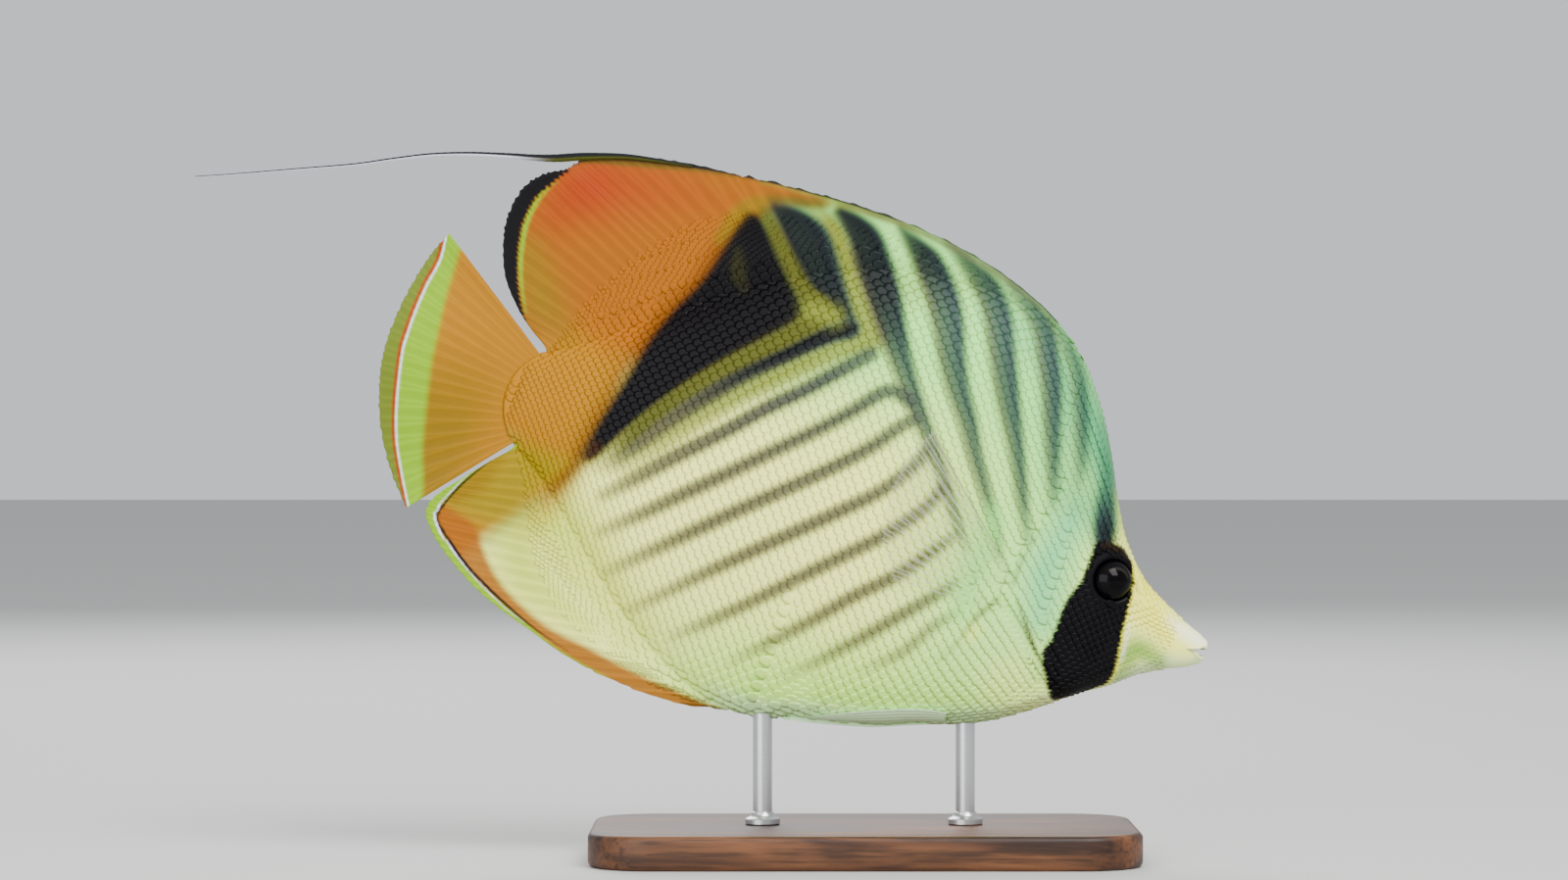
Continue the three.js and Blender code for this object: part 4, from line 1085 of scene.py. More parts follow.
def painted(tree, mottle, roughness, rim_and_groove_shade_depth):
    """Outputs of the pigment group over a mesh's own markings, scale rims and painted groove shade."""
    pigment = add_node(tree, "ShaderNodeGroup", node_tree=pigment_group())
    return join(tree, pigment, {
        "Markings": attribute(tree, "markings", "Color"),
        "Rim": attribute(tree, "rim", "Fac"),
        "Mottle": mottle,
        "Rim And Groove Shade Depth": rim_and_groove_shade_depth,
        "Roughness": roughness,
    }).outputs


def living_material(name, mottle, rim_and_groove_shade_depth, roughness=0.48, coat=0.04, see_through=False):
    """Painted surface of the fish: markings from the mesh, darker scale rims and painted shade in fin
    grooves, a thin wet coat.
    """
    if name in bpy.data.materials:
        return bpy.data.materials[name]
    material, tree, shader = new_material(name)
    pigment = painted(tree, mottle, roughness, rim_and_groove_shade_depth)
    grain = bpy.context.scene.butterflyfish_surface.body_bump
    join(tree, shader, {
        "Base Color": pigment["Colour"],
        "Roughness": pigment["Roughness"],
        "Normal": fine_bump(tree, pigment["Height"], 0.35, grain),
        "Coat Weight": coat,
        "Coat Roughness": 0.3,
        "Specular IOR Level": 0.1,
    })
    if see_through:
        join(tree, shader, {"Alpha": attribute(tree, "clear", "Fac")})
    return material


def scale_mesh(material):
    """One thin scale, 1 unit long with its root at the origin, lying along +X and facing +Z."""
    rows = 4
    columns = 4
    top = []
    patch = []
    rim = []
    for i in range(rows + 1):
        along = i / rows
        reach = math.sin(math.pi / 2 * min(1, 0.45 + 0.55 * along))
        for j in range(columns + 1):
            across = 2 * j / columns - 1
            width = 0.41 * (0.72 + 0.28 * math.sin(math.pi * min(1, along + 0.12)))
            pulled = along - 0.2 * along * along * across * across
            dome = 0.02 * (1 - across * across) * reach
            top.append((pulled, across * width, dome + 0.028 * along))
            patch.append((along - 0.5, across / 2))
            side_rim = smooth(0.7, 1.0, abs(across)) * smooth(0.2, 0.7, along)
            rim.append(max(smooth(0.72, 1.0, along), side_rim))
    outline = [j for j in range(columns + 1)]
    outline += [i * (columns + 1) + columns for i in range(1, rows + 1)]
    outline += [rows * (columns + 1) + j for j in range(columns - 1, -1, -1)]
    outline += [i * (columns + 1) for i in range(rows - 1, 0, -1)]
    faces = []
    for i in range(rows):
        for j in range(columns):
            corner = i * (columns + 1) + j
            faces.append((corner, corner + columns + 1, corner + columns + 2, corner + 1))
    first = len(top)
    bottom = [(top[k][0] * 0.97, top[k][1] * 0.96, top[k][2] - 0.026) for k in outline]
    count = len(outline)
    for k in range(count):
        after = (k + 1) % count
        faces.append((outline[k], outline[after], first + after, first + k))
    faces.append(tuple(first + k for k in range(count - 1, -1, -1)))
    mesh = bpy.data.meshes.new("scale")
    mesh.from_pydata(top + bottom, [], faces)
    turn_outwards(mesh)
    everywhere = patch + [patch[k] for k in outline]
    layer = mesh.attributes.new("patch", "FLOAT_VECTOR", "POINT")
    layer.data.foreach_set("vector", [value for x, y in everywhere for value in (x, y, 0.0)])
    store_float(mesh, "rim", rim + [rim[k] for k in outline])
    mesh.materials.append(material)
    return mesh


def coat_tree():
    """Geometry nodes that lay a scale on each point of a bed, turned to its lie and outward side."""
    name = "Scale Coat"
    if name in bpy.data.node_groups:
        return bpy.data.node_groups[name]
    tree = bpy.data.node_groups.new(name, "GeometryNodeTree")
    add_sockets(tree, {
        "Bed": ("Geometry", None),
        "Scale": ("Object", None),
        "Unevenness": ("Float", 0.05),
        "Patch Size": ("Float", PATCH_SIZE),
        "Seed": ("Int", 1),
        "Finish": ("Material", None),
    }, {"Coat": "Geometry"})
    given = add_node(tree, "NodeGroupInput").outputs
    points = add_node(tree, "GeometryNodeMeshToPoints", {"Mesh": given["Bed"]}).outputs[0]

    def read(label):
        kind = "GeometryNodeInputNamedAttribute"
        return add_node(tree, kind, {"Name": label}, data_type="FLOAT_VECTOR").outputs["Attribute"]

    axes = {"Primary Axis": read("outward"), "Secondary Axis": read("lie")}
    facing = add_node(tree, "FunctionNodeAxesToRotation", axes, primary_axis="Z", secondary_axis="X")
    low = math_node(tree, "MULTIPLY", given["Unevenness"], -1.0)
    turn = add_node(tree, "FunctionNodeRandomValue", {"Seed": given["Seed"]}, data_type="FLOAT")
    join(tree, turn, {2: low, 3: given["Unevenness"]})
    twist = add_node(tree, "ShaderNodeCombineXYZ", {"Z": turn.outputs[1]}).outputs[0]
    turned = {"Rotation": facing.outputs[0], 1: twist}
    turned = add_node(tree, "FunctionNodeRotateRotation", turned, rotation_space="LOCAL")
    scale = add_node(tree, "GeometryNodeObjectInfo", {"Object": given["Scale"]})
    laid = add_node(tree, "GeometryNodeInstanceOnPoints", {
        "Points": points,
        "Instance": scale.outputs["Geometry"],
        "Rotation": turned.outputs[0],
        "Scale": read("size"),
    }).outputs[0]
    real = add_node(tree, "GeometryNodeRealizeInstances", {"Geometry": laid}).outputs[0]
    spread = {0: read("patch"), "Scale": given["Patch Size"]}
    spread = add_node(tree, "ShaderNodeVectorMath", spread, operation="SCALE").outputs[0]
    spot = add_node(tree, "ShaderNodeVectorMath", {0: spread, 1: read("place")}).outputs[0]
    mapped = add_node(tree, "GeometryNodeStoreNamedAttribute", data_type="FLOAT2", domain="CORNER")
    join(tree, mapped, {"Geometry": real, "Name": UNWRAP, "Value": spot})
    finish = {"Geometry": mapped.outputs[0], "Material": given["Finish"]}
    coat = add_node(tree, "GeometryNodeSetMaterial", finish).outputs[0]
    add_node(tree, "NodeGroupOutput", {"Coat": coat})
    return tree


def lay_coat(name, beds, seed):
    """Scales on the rows of some beds, as one painted mesh."""
    scene = bpy.context.scene
    finish = scale_finish()
    scale = link_new("scale", scale_mesh(finish))
    mesh = bpy.data.meshes.new(name + "_bed")
    rows = {}
    for label in ScaleBed.LABELS:
        rows[label] = np.concatenate([part for bed in beds for part in bed.rows[label]])
    mesh.from_pydata(rows.pop("root").tolist(), [], [])
    for label, values in rows.items():
        layer = mesh.attributes.new(label, "FLOAT_VECTOR", "POINT")
        layer.data.foreach_set("vector", values.astype(np.float32).reshape(-1))
    holder = link_new(name + "_bed", mesh)
    tree = coat_tree()
    modifier = holder.modifiers.new("Coat", "NODES")
    modifier.node_group = tree
    values = {
        "Scale": scale,
        "Unevenness": scene.butterflyfish_surface.unevenness,
        "Patch Size": PATCH_SIZE,
        "Seed": seed,
        "Finish": finish,
    }
    for item in tree.interface.items_tree:
        if item.in_out == "INPUT" and item.name in values:
            modifier[item.identifier] = values[item.name]
    bpy.context.view_layer.update()
    evaluated = holder.evaluated_get(bpy.context.evaluated_depsgraph_get())
    coat = bpy.data.meshes.new_from_object(evaluated)
    holder.modifiers.remove(modifier)
    bpy.data.objects.remove(holder)
    bpy.data.objects.remove(scale)
    if not len(coat.polygons):
        raise RuntimeError(f"{name}: no scale was laid")
    coat.name = name
    for label in (*rows, "patch"):
        if label in coat.attributes:
            coat.attributes.remove(coat.attributes[label])
    paint_mesh(coat, scene.butterflyfish_colours)
    return link_new(name, coat)


SCALE_PITCH = (
    (3, 1.4), (8, 1.5), (14, 1.68), (20, 1.86), (25, 2), (30, 2.15), (36, 2.32), (45, 2.5), (70, 2.45),
    (85, 2.1), (96, 1.65), (104, 1.4),
)
scale_pitch = profile(SCALE_PITCH)
ROW_SHARE = 0.56
LENGTH_SHARE = 1.28
BARE_REAR = 1.3
BED_STEP = 0.35


class ScaleBed:
    """Rows that a coat is laid on: a scale's root, outward side, lie, size and place on the unwrap."""

    LABELS = ("root", "outward", "lie", "size", "place")

    def __init__(self, seed):
        self.random = np.random.default_rng(seed)
        self.rows = {label: [] for label in self.LABELS}

    def lengths(self, pitch, count, spread):
        """Slightly uneven lengths in metres for some scales of one pitch."""
        return pitch * LENGTH_SHARE * MM * (1 + self.random.uniform(-spread, spread, count))

    def add(self, roots, outward, lie, lengths, height, unwrap):
        """Adds scales from places and directions in the fish's frame; height is a share of the length."""
        spot = np.stack(np.broadcast_arrays(*unwrap, 0.0), -1)
        size = lengths[:, None] * [1, 1, height]
        added = (from_fish_frame(roots), turn_to_world(outward), turn_to_world(lie), size, spot)
        for label, values in zip(self.LABELS, added):
            self.rows[label].append(values)


def bed_columns():
    """Columns of scale roots along the body: behind, pitch in millimetres and number."""
    behind = 4.5
    number = 0
    while behind < 103:
        pitch = float(scale_pitch(behind))
        yield behind, pitch, number
        behind += pitch / 2 / PERCENT
        number += 1


def arc_points(behind, arcs):
    """Heights of places at given arc lengths in millimetres above one section's waist, and its reach."""
    up = half_ring(behind)
    half = skin_half(behind, up)
    half[0] = half[-1] = 0
    length = running(np.hypot(np.diff(up * PERCENT), np.diff(half)))
    length -= np.interp(waist(behind), up, length)
    return np.interp(arcs, length, up), (length[0], length[-1])


def on_skin(behind, up):
    """Places on one side's skin in the fish's frame."""
    return in_fish_frame(behind, up, skin_half(behind, up) + relief(behind, up))


def body_bed(side, keep, seed):
    """The bed of the body's scales on one side of the fish, where keep holds."""
    bed = ScaleBed(seed)
    for behind, pitch, column in bed_columns():
        row_pitch = pitch * ROW_SHARE
        _, reach = arc_points(behind, np.zeros(1))
        rows = np.arange(math.ceil(reach[0] / row_pitch), math.floor(reach[1] / row_pitch) + 1)
        arcs = rows[(rows + column) % 2 == 0] * row_pitch
        up, _ = arc_points(behind, arcs)
        low = belly(behind)
        high = back(behind)
        middle = waist(behind)
        edge = np.where(up > middle, high, low)
        height_share = np.clip((up - middle) / (edge - middle), 0, 1)
        good = keep(np.full(len(up), behind), up)
        good &= behind < SKIN_END - BARE_REAR - rear_bow(SKIN_END, height_share)
        good &= (up > low - fin_foot(behind, False) * 0.8) & (up < high + fin_foot(behind, True) * 0.8)
        up = up[good]
        arcs = arcs[good]
        if not len(up):
            continue
        grow = float(scale_pitch(behind + BED_STEP)) / pitch
        after, _ = arc_points(behind + BED_STEP, arcs * grow)
        above, _ = arc_points(behind, arcs + 0.6)
        below, _ = arc_points(behind, arcs - 0.6)
        here = on_skin(behind, up)
        lie = on_skin(behind + BED_STEP, after) - here
        outward = unit(np.cross(on_skin(behind, above) - on_skin(behind, below), lie))
        outward *= np.sign(outward[:, 1:2] + 1e-9)
        outward[:, ::2] *= smooth(0.6, -1.5, np.maximum(up - high, low - up))[:, None]
        outward = unit(outward)
        lie = unit(lie)
        here = here - outward * COAT_DEPTH
        for part in (here, outward, lie):
            part[:, 1] *= side
        lengths = bed.lengths(pitch, len(up), 0.04)
        share = (up - low) / (high - low) / 2
        round_share = np.clip(share if side < 0 else 1 - share, 0.002, 0.998)
        height = 0.3 + 0.5 * float(smooth(14, 44, behind))
        bed.add(here, outward, lie, lengths, height, (behind / BACK[-1][0], round_share))
    return bed


# Where a plate's two faces lie on its unwrap, side by side.
SHEET = (0.49, 0.98)
SHEET_START = (0.0, 0.01)
OTHER_SIDE = 0.51


def plate(name, middle, half, groove_shade, normal=(0.0, 1.0, 0.0)):
    """A closed thin plate round a grid of middle points, in the fish's frame, both faces split alike."""
    rows, columns = middle.shape[0] - 1, middle.shape[1] - 1
    offset = np.asarray(normal) * half[..., None]
    points = np.concatenate([(middle + offset).reshape(-1, 3), (middle - offset).reshape(-1, 3)])
    faces, places = grid_faces(rows, columns)
    other = (rows + 1) * (columns + 1)
    left_uv = places[..., ::-1] / np.array([columns, rows]) * SHEET + SHEET_START
    right_uv = left_uv + [OTHER_SIDE, 0]
    at = np.arange(other).reshape(rows + 1, columns + 1)
    rim_line = np.concatenate([at[0, :-1], at[:-1, -1], at[-1, :0:-1], at[:0:-1, 0]])
    after = np.roll(rim_line, -1)
    strips = np.stack([rim_line, after, other + after, other + rim_line], -1)
    strip_uv = np.tile(np.array([0.5, 0.995]), (len(strips) * 4, 1))
    corner_uv = np.concatenate([left_uv.reshape(-1, 2), right_uv[:, ::-1].reshape(-1, 2), strip_uv])
    every = [*faces.tolist(), *(other + faces[:, ::-1]).tolist(), *strips.tolist()]
    # The groove share is darkened by the fin materials: painted shade between the ray ridges.
    rim = {"rim": np.tile(groove_shade.reshape(-1), 2)}
    return new_object(name, from_fish_frame(points), every, corner_uv, rim)


def ray_ridge(place, out, branched):
    """Height share of the fin rays: place 0 to 1 across one ray's strip, its axis at a half."""
    split = 0.21 * smooth(0.35, 1.0, out) * branched
    thin = 0.17 - 0.06 * smooth(0.3, 1, out) * branched
    one = bump(place, 0.5 - split, thin)
    two = bump(place, 0.5 + split, thin)
    return np.maximum(one, two)


class FinPart:
    """A stretch of a median fin: rays from a root line to a margin line."""

    def __init__(self, root, margin, rays, steps, branched, tooth, wave=0.0):
        self.root = root
        self.margin = margin
        self.rays = rays
        self.steps = steps
        self.branched = branched
        self.tooth = tooth
        self.wave = wave

    def flat(self, across, out, place):
        """Side-view place in percent and sideways bend in millimetres."""
        root = spline_at(self.root, across)
        margin = spline_at(self.margin, across)
        ridge = ray_ridge(place, out, self.branched)
        jitter = 0.4 * np.sin(across * self.rays * 7.1) + 0.3 * np.sin(across * self.rays * 17.3)
        reach = out * (1 + self.tooth * out**6 * (ridge - 0.5 + 0.5 * jitter))
        spot = root + (margin - root) * reach[..., None]
        start = smooth(0, 0.12, across) if self.wave else 1
        bend = self.wave * out**2 * np.sin(across * math.pi * 2.6 + 0.4) * start
        return spot[..., 0], spot[..., 1], bend


def fin_half(out, ridge, root_half, ridge_height=FIN_RIDGE, margin_half=FIN_MARGIN_HALF):
    """Half thickness of a median fin in millimetres, its web and the ridges of its rays."""
    web = root_half + (margin_half - root_half) * np.clip(out, 0, 1) ** 0.75
    return web + ridge_height * ridge * (1 - 0.72 * out) * (0.3 + 0.7 * smooth(0.1, 0.55, out))


def median_fin(name, parts, rows, root_half, margin_half=FIN_MARGIN_HALF):
    """A fin in the fish's middle plane, from its parts in front-to-rear order."""
    pieces = []
    outs = np.linspace(0, 1, rows + 1) ** 0.85
    for number, part in enumerate(parts):
        count = part.rays * part.steps
        column = np.arange(count + (number == len(parts) - 1))
        across, out = np.meshgrid(column / count, outs)
        place = np.broadcast_to((column % part.steps) / part.steps, across.shape)
        ridge = ray_ridge(place, out, part.branched)
        height = FIN_RIDGE * (1 if part.branched else SPINE_RISE)
        half = fin_half(out, ridge, root_half, height, margin_half)
        # Away from the ray ridges the web is stored for darkening: painted shade in the grooves.
        pieces.append((in_fish_frame(*part.flat(across, out, place)), half, 1 - ridge))
    return plate(name, *(np.concatenate(values, 1) for values in zip(*pieces)))


def sunk_root(edge, sink, start, end, count):
    """A fin's root line, sunk into the body's edge."""
    return [(b, float(edge(b)) - sink) for b in np.linspace(start, end, count)]


DORSAL_PARTS = (
    FinPart(sunk_root(back, 0.6, 31, 70, 14), DORSAL_SPINY, 13, 10, 0, 0.025),
    FinPart(sunk_root(back, 0.6, 70, 99.8, 12), DORSAL_SOFT, 23, 12, 1, 0.007, 0.6),
)
ANAL_PARTS = (
    FinPart(sunk_root(belly, -0.6, 57, 64.6, 4), ANAL_SPINY, 3, 14, 0, 0.05),
    FinPart(sunk_root(belly, -0.6, 64.6, 99.6, 12), ANAL_SOFT, 20, 12, 1, 0.005, -0.6),
)
TAIL_PARTS = (FinPart(CAUDAL_ROOT, CAUDAL_MARGIN, 17, 20, 1, 0.006, 1.1),)


def fin_bed(parts, side, above, cover, seed):
    """The bed of the scales over the lower part of a median fin, in rows across its rays."""
    pitch = bpy.context.scene.butterflyfish_surface.fin_pitch / MM
    bed = ScaleBed(seed)
    samples = np.linspace(0, 1, 60)
    for number, part in enumerate(parts):
        roots = spline_at(part.root, samples)
        margins = spline_at(part.margin, samples)
        longest = np.linalg.norm(margins - roots, axis=1).max() * PERCENT
        for row in range(int(longest / (pitch / 2))):
            out = row * pitch / 2 / longest
            line = roots + (margins - roots) * out
            length = running(np.linalg.norm(np.diff(line, axis=0), axis=1)) * PERCENT
            count = int(length[-1] / (pitch * ROW_SHARE * 2))
            if count < 2:
                continue
            wanted = (np.arange(count) + 0.5 * (row % 2)) * length[-1] / count
            across = np.interp(wanted, length, samples)
            spread = np.full(len(across), out)
            behind, up, bend = part.flat(across, spread, (across * part.rays) % 1)
            over = up - back(behind) if above else belly(behind) - up
            reach = cover(behind)
            good = (over > fin_foot(behind, above) * 0.78) & (over > 0.1) & (spread < reach)
            if not good.any():
                continue
            behind, up, bend, across, spread, reach = (
                values[good] for values in (behind, up, bend, across, spread, reach)
            )
            here = in_fish_frame(behind, up, bend + side * fin_half(spread, 0.5, FIN_ROOT_HALF))
            ray = spline_at(part.margin, across) - spline_at(part.root, across)
            ray_length = np.linalg.norm(ray, axis=1)
            lie = unit(np.stack([-ray[:, 0], 0 * bend, ray[:, 1]], -1))
            outward = np.tile([0.0, float(side), 0.0], (len(behind), 1))
            fade = 1 - 0.35 * smooth(0.6, 1.0, spread / reach)
            fade *= 0.5 + 0.5 * ray_length * PERCENT / longest
            lengths = fade * bed.lengths(pitch, len(behind), 0.05)
            sheet = (number + across) / len(parts) * SHEET[0] + (0 if side > 0 else OTHER_SIDE)
            bed.add(here, outward, lie, lengths, 0.3, (sheet, spread * SHEET[1] + SHEET_START[1]))
    return bed


def turn_steps(count):
    """Angles round a full turn."""
    return np.linspace(0, 2 * math.pi, count, endpoint=False)


def tube(name, path, radii, sides):
    """A closed round bar along a smooth path in the fish's frame."""
    along = unit(np.gradient(path, axis=0))
    left = np.tile([0.0, 1.0, 0.0], (len(path), 1))
    rise = np.cross(left, along)
    rise = unit(rise * np.sign(rise[:, 2:3] + 1e-9))
    angle = turn_steps(sides)[None, :, None]
    round_part = np.cos(angle) * left[:, None] + np.sin(angle) * rise[:, None]
    points = path[:, None] + round_part * radii[:, None, None]
    faces, places = grid_faces(len(path) - 1, sides, wrap=True)
    last = (len(path) - 1) * sides
    every = [*faces.tolist(), list(range(sides)), list(range(last + sides - 1, last - 1, -1))]
    uv = (places[..., ::-1] / np.array([sides, len(path) - 1])).reshape(-1, 2)
    ends = np.tile([0.5, 0.5], (2 * sides, 1))
    return new_object(name, from_fish_frame(points.reshape(-1, 3)), every, np.concatenate([uv, ends]))


def build_thread():
    """The thread of the prolonged soft rays, thickest near its root and finely knotted."""
    steps = 260
    behind, up, left = spline(THREAD, 40).T
    places = in_fish_frame(behind, up, left)
    length = running(np.linalg.norm(np.diff(places, axis=0), axis=1))
    wanted = np.linspace(0, length[-1], steps)
    path = np.stack([np.interp(wanted, length, places[:, k]) for k in range(3)], -1)
    share = wanted / length[-1]
    radius = profile(THREAD_RADIUS)
    knots = 1 + 0.05 * np.sin(wanted * 4.2) * smooth(0.2, 0.35, share)
    return tube("thread", path, radius(share) * knots, 24)


def surface_normals(point, across, out):
    """Outward normals of a sheet given by a function of two shares, by small steps."""
    step = 0.004
    first = point(across + step, out) - point(across - step, out)
    second = point(across, out + step) - point(across, out - step)
    return unit(np.cross(first, second))


def ray_grid(rays, steps, rows):
    """Shares across a paired fin and out from its root, and the place across each ray's own strip."""
    columns = np.arange(rays * steps + 1)
    across, out = np.meshgrid(columns / (rays * steps), np.linspace(0, 1, rows + 1))
    return across, out, np.broadcast_to((columns % steps) / steps, across.shape)


PECTORAL_RAYS = 15
PECTORAL_ROOT = ((29.2, 0.2), (29.9, -1.4), (30.9, -3.4), (31.9, -5.4))
PECTORAL_MARGIN = ((46.3, 15), (47.9, 11.6), (48.7, 7.2), (48.6, 2.4), (47.2, -2.2), (44.2, -6))
PELVIC_LOWER = ((30.6, -22.4), (35, -24.2), (39.7, -26.2), (44.9, -27.8), (48.6, -28.8), (51.6, -29.5))
PELVIC_UPPER = ((30.9, -20.6), (35, -21.6), (40, -23.6), (44.9, -26), (48.8, -28), (51.8, -29.2))


def build_pectoral(side, label):
    """A clear pectoral fin that stands a little off the flank."""
    across, out, place = ray_grid(PECTORAL_RAYS, 12, 60)

    def point(at_across, at_out):
        root = spline_at(PECTORAL_ROOT, at_across)
        margin = spline_at(PECTORAL_MARGIN, at_across)
        behind, up = np.moveaxis(root + (margin - root) * at_out[..., None], -1, 0)
        standing = -0.25 + 0.75 * np.clip(at_out * 4, 0, 1)
        left = skin_half(behind, up) + standing + 1.2 * np.clip(at_out, 0, 2) ** 1.4
        return in_fish_frame(behind, up, side * left)

    ridge = ray_ridge(place, out, 1)
    reach = out * (1 + 0.02 * out**6 * (ridge - 0.6))
    half = 0.07 + 0.35 * smooth(0.3, 0, out) + 0.11 * ridge * (1 - 0.6 * out)
    normals = surface_normals(point, across, out)
    return plate(f"pectoral_{label}", point(across, reach), half, 1 - ridge, normals)


def build_pelvic(side, label):
    """A pelvic fin folded along the belly, with its spine at the lower edge."""
    across, out, place = ray_grid(6, 10, 90)
    lower = spline_at(PELVIC_LOWER, out)
    upper = spline_at(PELVIC_UPPER, out)
    behind, up = np.moveaxis(lower + (upper - lower) * across[..., None], -1, 0)
    left = side * np.maximum(flank(behind, up) + 0.62, 0.8)
    ridge = ray_ridge(place, out, 1)
    spine = bump(across, 0.05, 0.07) * smooth(0.85, 0.6, out)
    half = 0.12 + 0.3 * (1 - out) + 0.12 * ridge * (1 - 0.6 * out) + 0.3 * spine * (1 - out)
    return plate(f"pelvic_{label}", in_fish_frame(behind, up, left), half, 1 - ridge)


def flank_normal(behind, up, side):
    """The bare flank's outward normal at one place, in the fish's frame."""
    step = 0.4

    def spot(b, u):
        return in_fish_frame(b, u, flank(np.array(b), np.array(u)))

    along = spot(behind - step, up) - spot(behind + step, up)
    rise = spot(behind, up + step) - spot(behind, up - step)
    normal = unit(np.cross(rise, along))
    return normal * math.copysign(1, normal[1]) * [1, side, 1]


def build_eye(side, label, tones):
    """Eyeball with a slightly domed cornea over a black pupil, a dark brown iris ring and a paler crescent
    over its upper side, a painted glint.
    """
    rings = 40
    around = 72
    outward = flank_normal(*EYE_AT, side)
    rise = unit(np.array([0.0, 0.0, 1.0]) - outward * outward[2])
    ahead = np.cross(rise, outward)
    centre = in_fish_frame(*EYE_AT, side * flank(*np.array(EYE_AT))) - outward * EYE_SUNK
    tilt = np.linspace(0, math.pi, rings + 1)[:, None, None]
    turn = turn_steps(around)[None, :, None]
    radius = np.sin(tilt) * (EYE_RADIUS - 0.05)
    cornea = 0.28 * bump(radius, 0, 2.1) * (tilt < math.pi / 2)
    height = np.cos(tilt) * (EYE_DEPTH - 0.05) + cornea
    points = centre + radius * np.cos(turn) * ahead + radius * np.sin(turn) * rise + height * outward
    faces, places = grid_faces(rings, around, wrap=True)
    uv = places / np.array([rings, around])
    points = from_fish_frame(points.reshape(-1, 3))
    piece = new_object(f"eyeball_{label}", points, faces.tolist(), uv.reshape(-1, 2))
    axis = turn_to_world(outward[None])[0]
    apart = (positions_of(piece.data) - from_fish_frame(centre)) / MM
    away = np.linalg.norm(apart - (apart @ axis)[:, None] * axis, axis=1)
    up_share = (apart @ turn_to_world(rise[None])[0]) / EYE_RADIUS
    iris = smooth(2.0, 2.25, away) * smooth(3.7, 3.3, away)
    # Paler crescent on the iris's upper side only: a painted glint.
    crescent = bump(away, 2.35, 0.22) * smooth(0.1, 0.55, up_share)
    colour = np.tile(linear(tones.pupil), (len(apart), 1))
    colour += iris[:, None] * (linear(tones.iris) - colour) * 0.6
    colour += crescent[:, None] * (linear(tones.iris_glint) - colour) * 0.8
    store_colour(piece.data, "markings", colour)
    return piece


# Edges of the stand that turn by more than this are shaded sharp.
SHARP = math.radians(35)


def rounded_outline(length, width, radius, steps=10):
    """Corner-rounded rectangle round the origin, in millimetres."""
    points = []
    for quarter, (x, y) in enumerate(((1, 1), (-1, 1), (-1, -1), (1, -1))):
        centre = (x * (length / 2 - radius), y * (width / 2 - radius))
        for step in range(steps + 1):
            angle = math.pi / 2 * (quarter + step / steps)
            points.append((centre[0] + radius * math.cos(angle), centre[1] + radius * math.sin(angle)))
    return np.array(points)


def lathe_faces(levels, count):
    """Faces round stacked rings, closed at both ends."""
    faces, _ = grid_faces(levels - 1, count, wrap=True)
    last = (levels - 1) * count
    return [*faces.tolist(), list(range(count)), list(range(last, last + count))]


def build_base(look):
    """The walnut base: a rounded board with eased upper and lower edges."""
    ease = look.base_edge / MM
    turns = np.linspace(0, math.pi / 2, 5)
    levels = [(ease * (1 - math.sin(turn)), ease * (1 - math.cos(turn))) for turn in turns]
    levels = levels + [(inset, BASE_HEIGHT - height) for inset, height in reversed(levels)]
    rings = []
    for inset, height in levels:
        outline = rounded_outline(BASE_LENGTH - 2 * inset, BASE_WIDTH - 2 * inset, 13 - inset)
        rings.append(np.column_stack([outline, np.full(len(outline), height)]))
    every = lathe_faces(len(rings), len(rings[0]))
    piece = new_object("display_base", np.concatenate(rings) * MM, every)
    piece.data.set_sharp_from_angle(angle=SHARP)
    return piece


def build_rod(label, x, top):
    """A turned steel rod with a stepped collar at its foot, its top under the belly's keel."""
    foot = ((0, 0), (3.3, 0), (3.6, 0.25), (3.6, 1.2), (3.35, 1.45), (2.9, 1.6), (2.45, 2), (2.3, 2.6))
    outline = [(radius, BASE_HEIGHT + height) for radius, height in (*foot, (ROD_RADIUS, 2.75))]
    outline += [(ROD_RADIUS, top - 0.3), (ROD_RADIUS - 0.3, top), (0, top)]
    turn = turn_steps(64)
    rings = [np.column_stack([x + r * np.cos(turn), r * np.sin(turn), 0 * turn + z]) for r, z in outline]
    faces, _ = grid_faces(len(rings) - 1, len(turn), wrap=True)
    piece = new_object(f"display_rod_{label}", np.concatenate(rings) * MM, faces.tolist())
    piece.data.set_sharp_from_angle(angle=SHARP)
    return piece


def wood_material(look):
    """Oiled walnut: long grain bands along X with fine dark pores."""
    material, tree, shader = new_material("Walnut")
    bands = noise(tree, 2.2, 5.0, (9.0, 62.0, 62.0), 0.8)
    pores = noise(tree, 1.0, 3.0, (60.0, 1500.0, 900.0))
    ramp = add_node(tree, "ShaderNodeValToRGB", {"Fac": bands})
    stops = ((0.36, look.wood_dark), (0.66, look.wood_light))
    for stop, (place, colour) in zip(ramp.color_ramp.elements, stops):
        stop.position = place
        stop.color = (*linear(colour), 1)
    dark = ranged(tree, pores, 0.55, 0.0, 0.36, 0.5)
    join(tree, shader, {
        "Base Color": mix_colour(tree, dark, ramp.outputs["Color"], (0.008, 0.004, 0.002, 1)),
        "Roughness": ranged(tree, bands, 0.45, 0.6),
        "Normal": fine_bump(tree, pores, 0.25, 0.1),
        "Specular IOR Level": 0.3,
        "Coat Weight": 0.06,
        "Coat Roughness": 0.3,
    })
    return material


def steel_material(look):
    """Brushed steel with fine marks round the rods."""
    material, tree, shader = new_material("Brushed Steel")
    marks = noise(tree, 1.0, 2.0, (90.0, 90.0, 5200.0))
    steel = linear(look.steel)
    join(tree, shader, {
        "Base Color": mix_colour(tree, marks, (*steel * 0.8, 1), (*steel, 1)),
        "Roughness": ranged(tree, marks, 0.24, 0.42),
        "Normal": fine_bump(tree, marks, 0.1, 0.05),
        "Metallic": 1.0,
    })
    return material


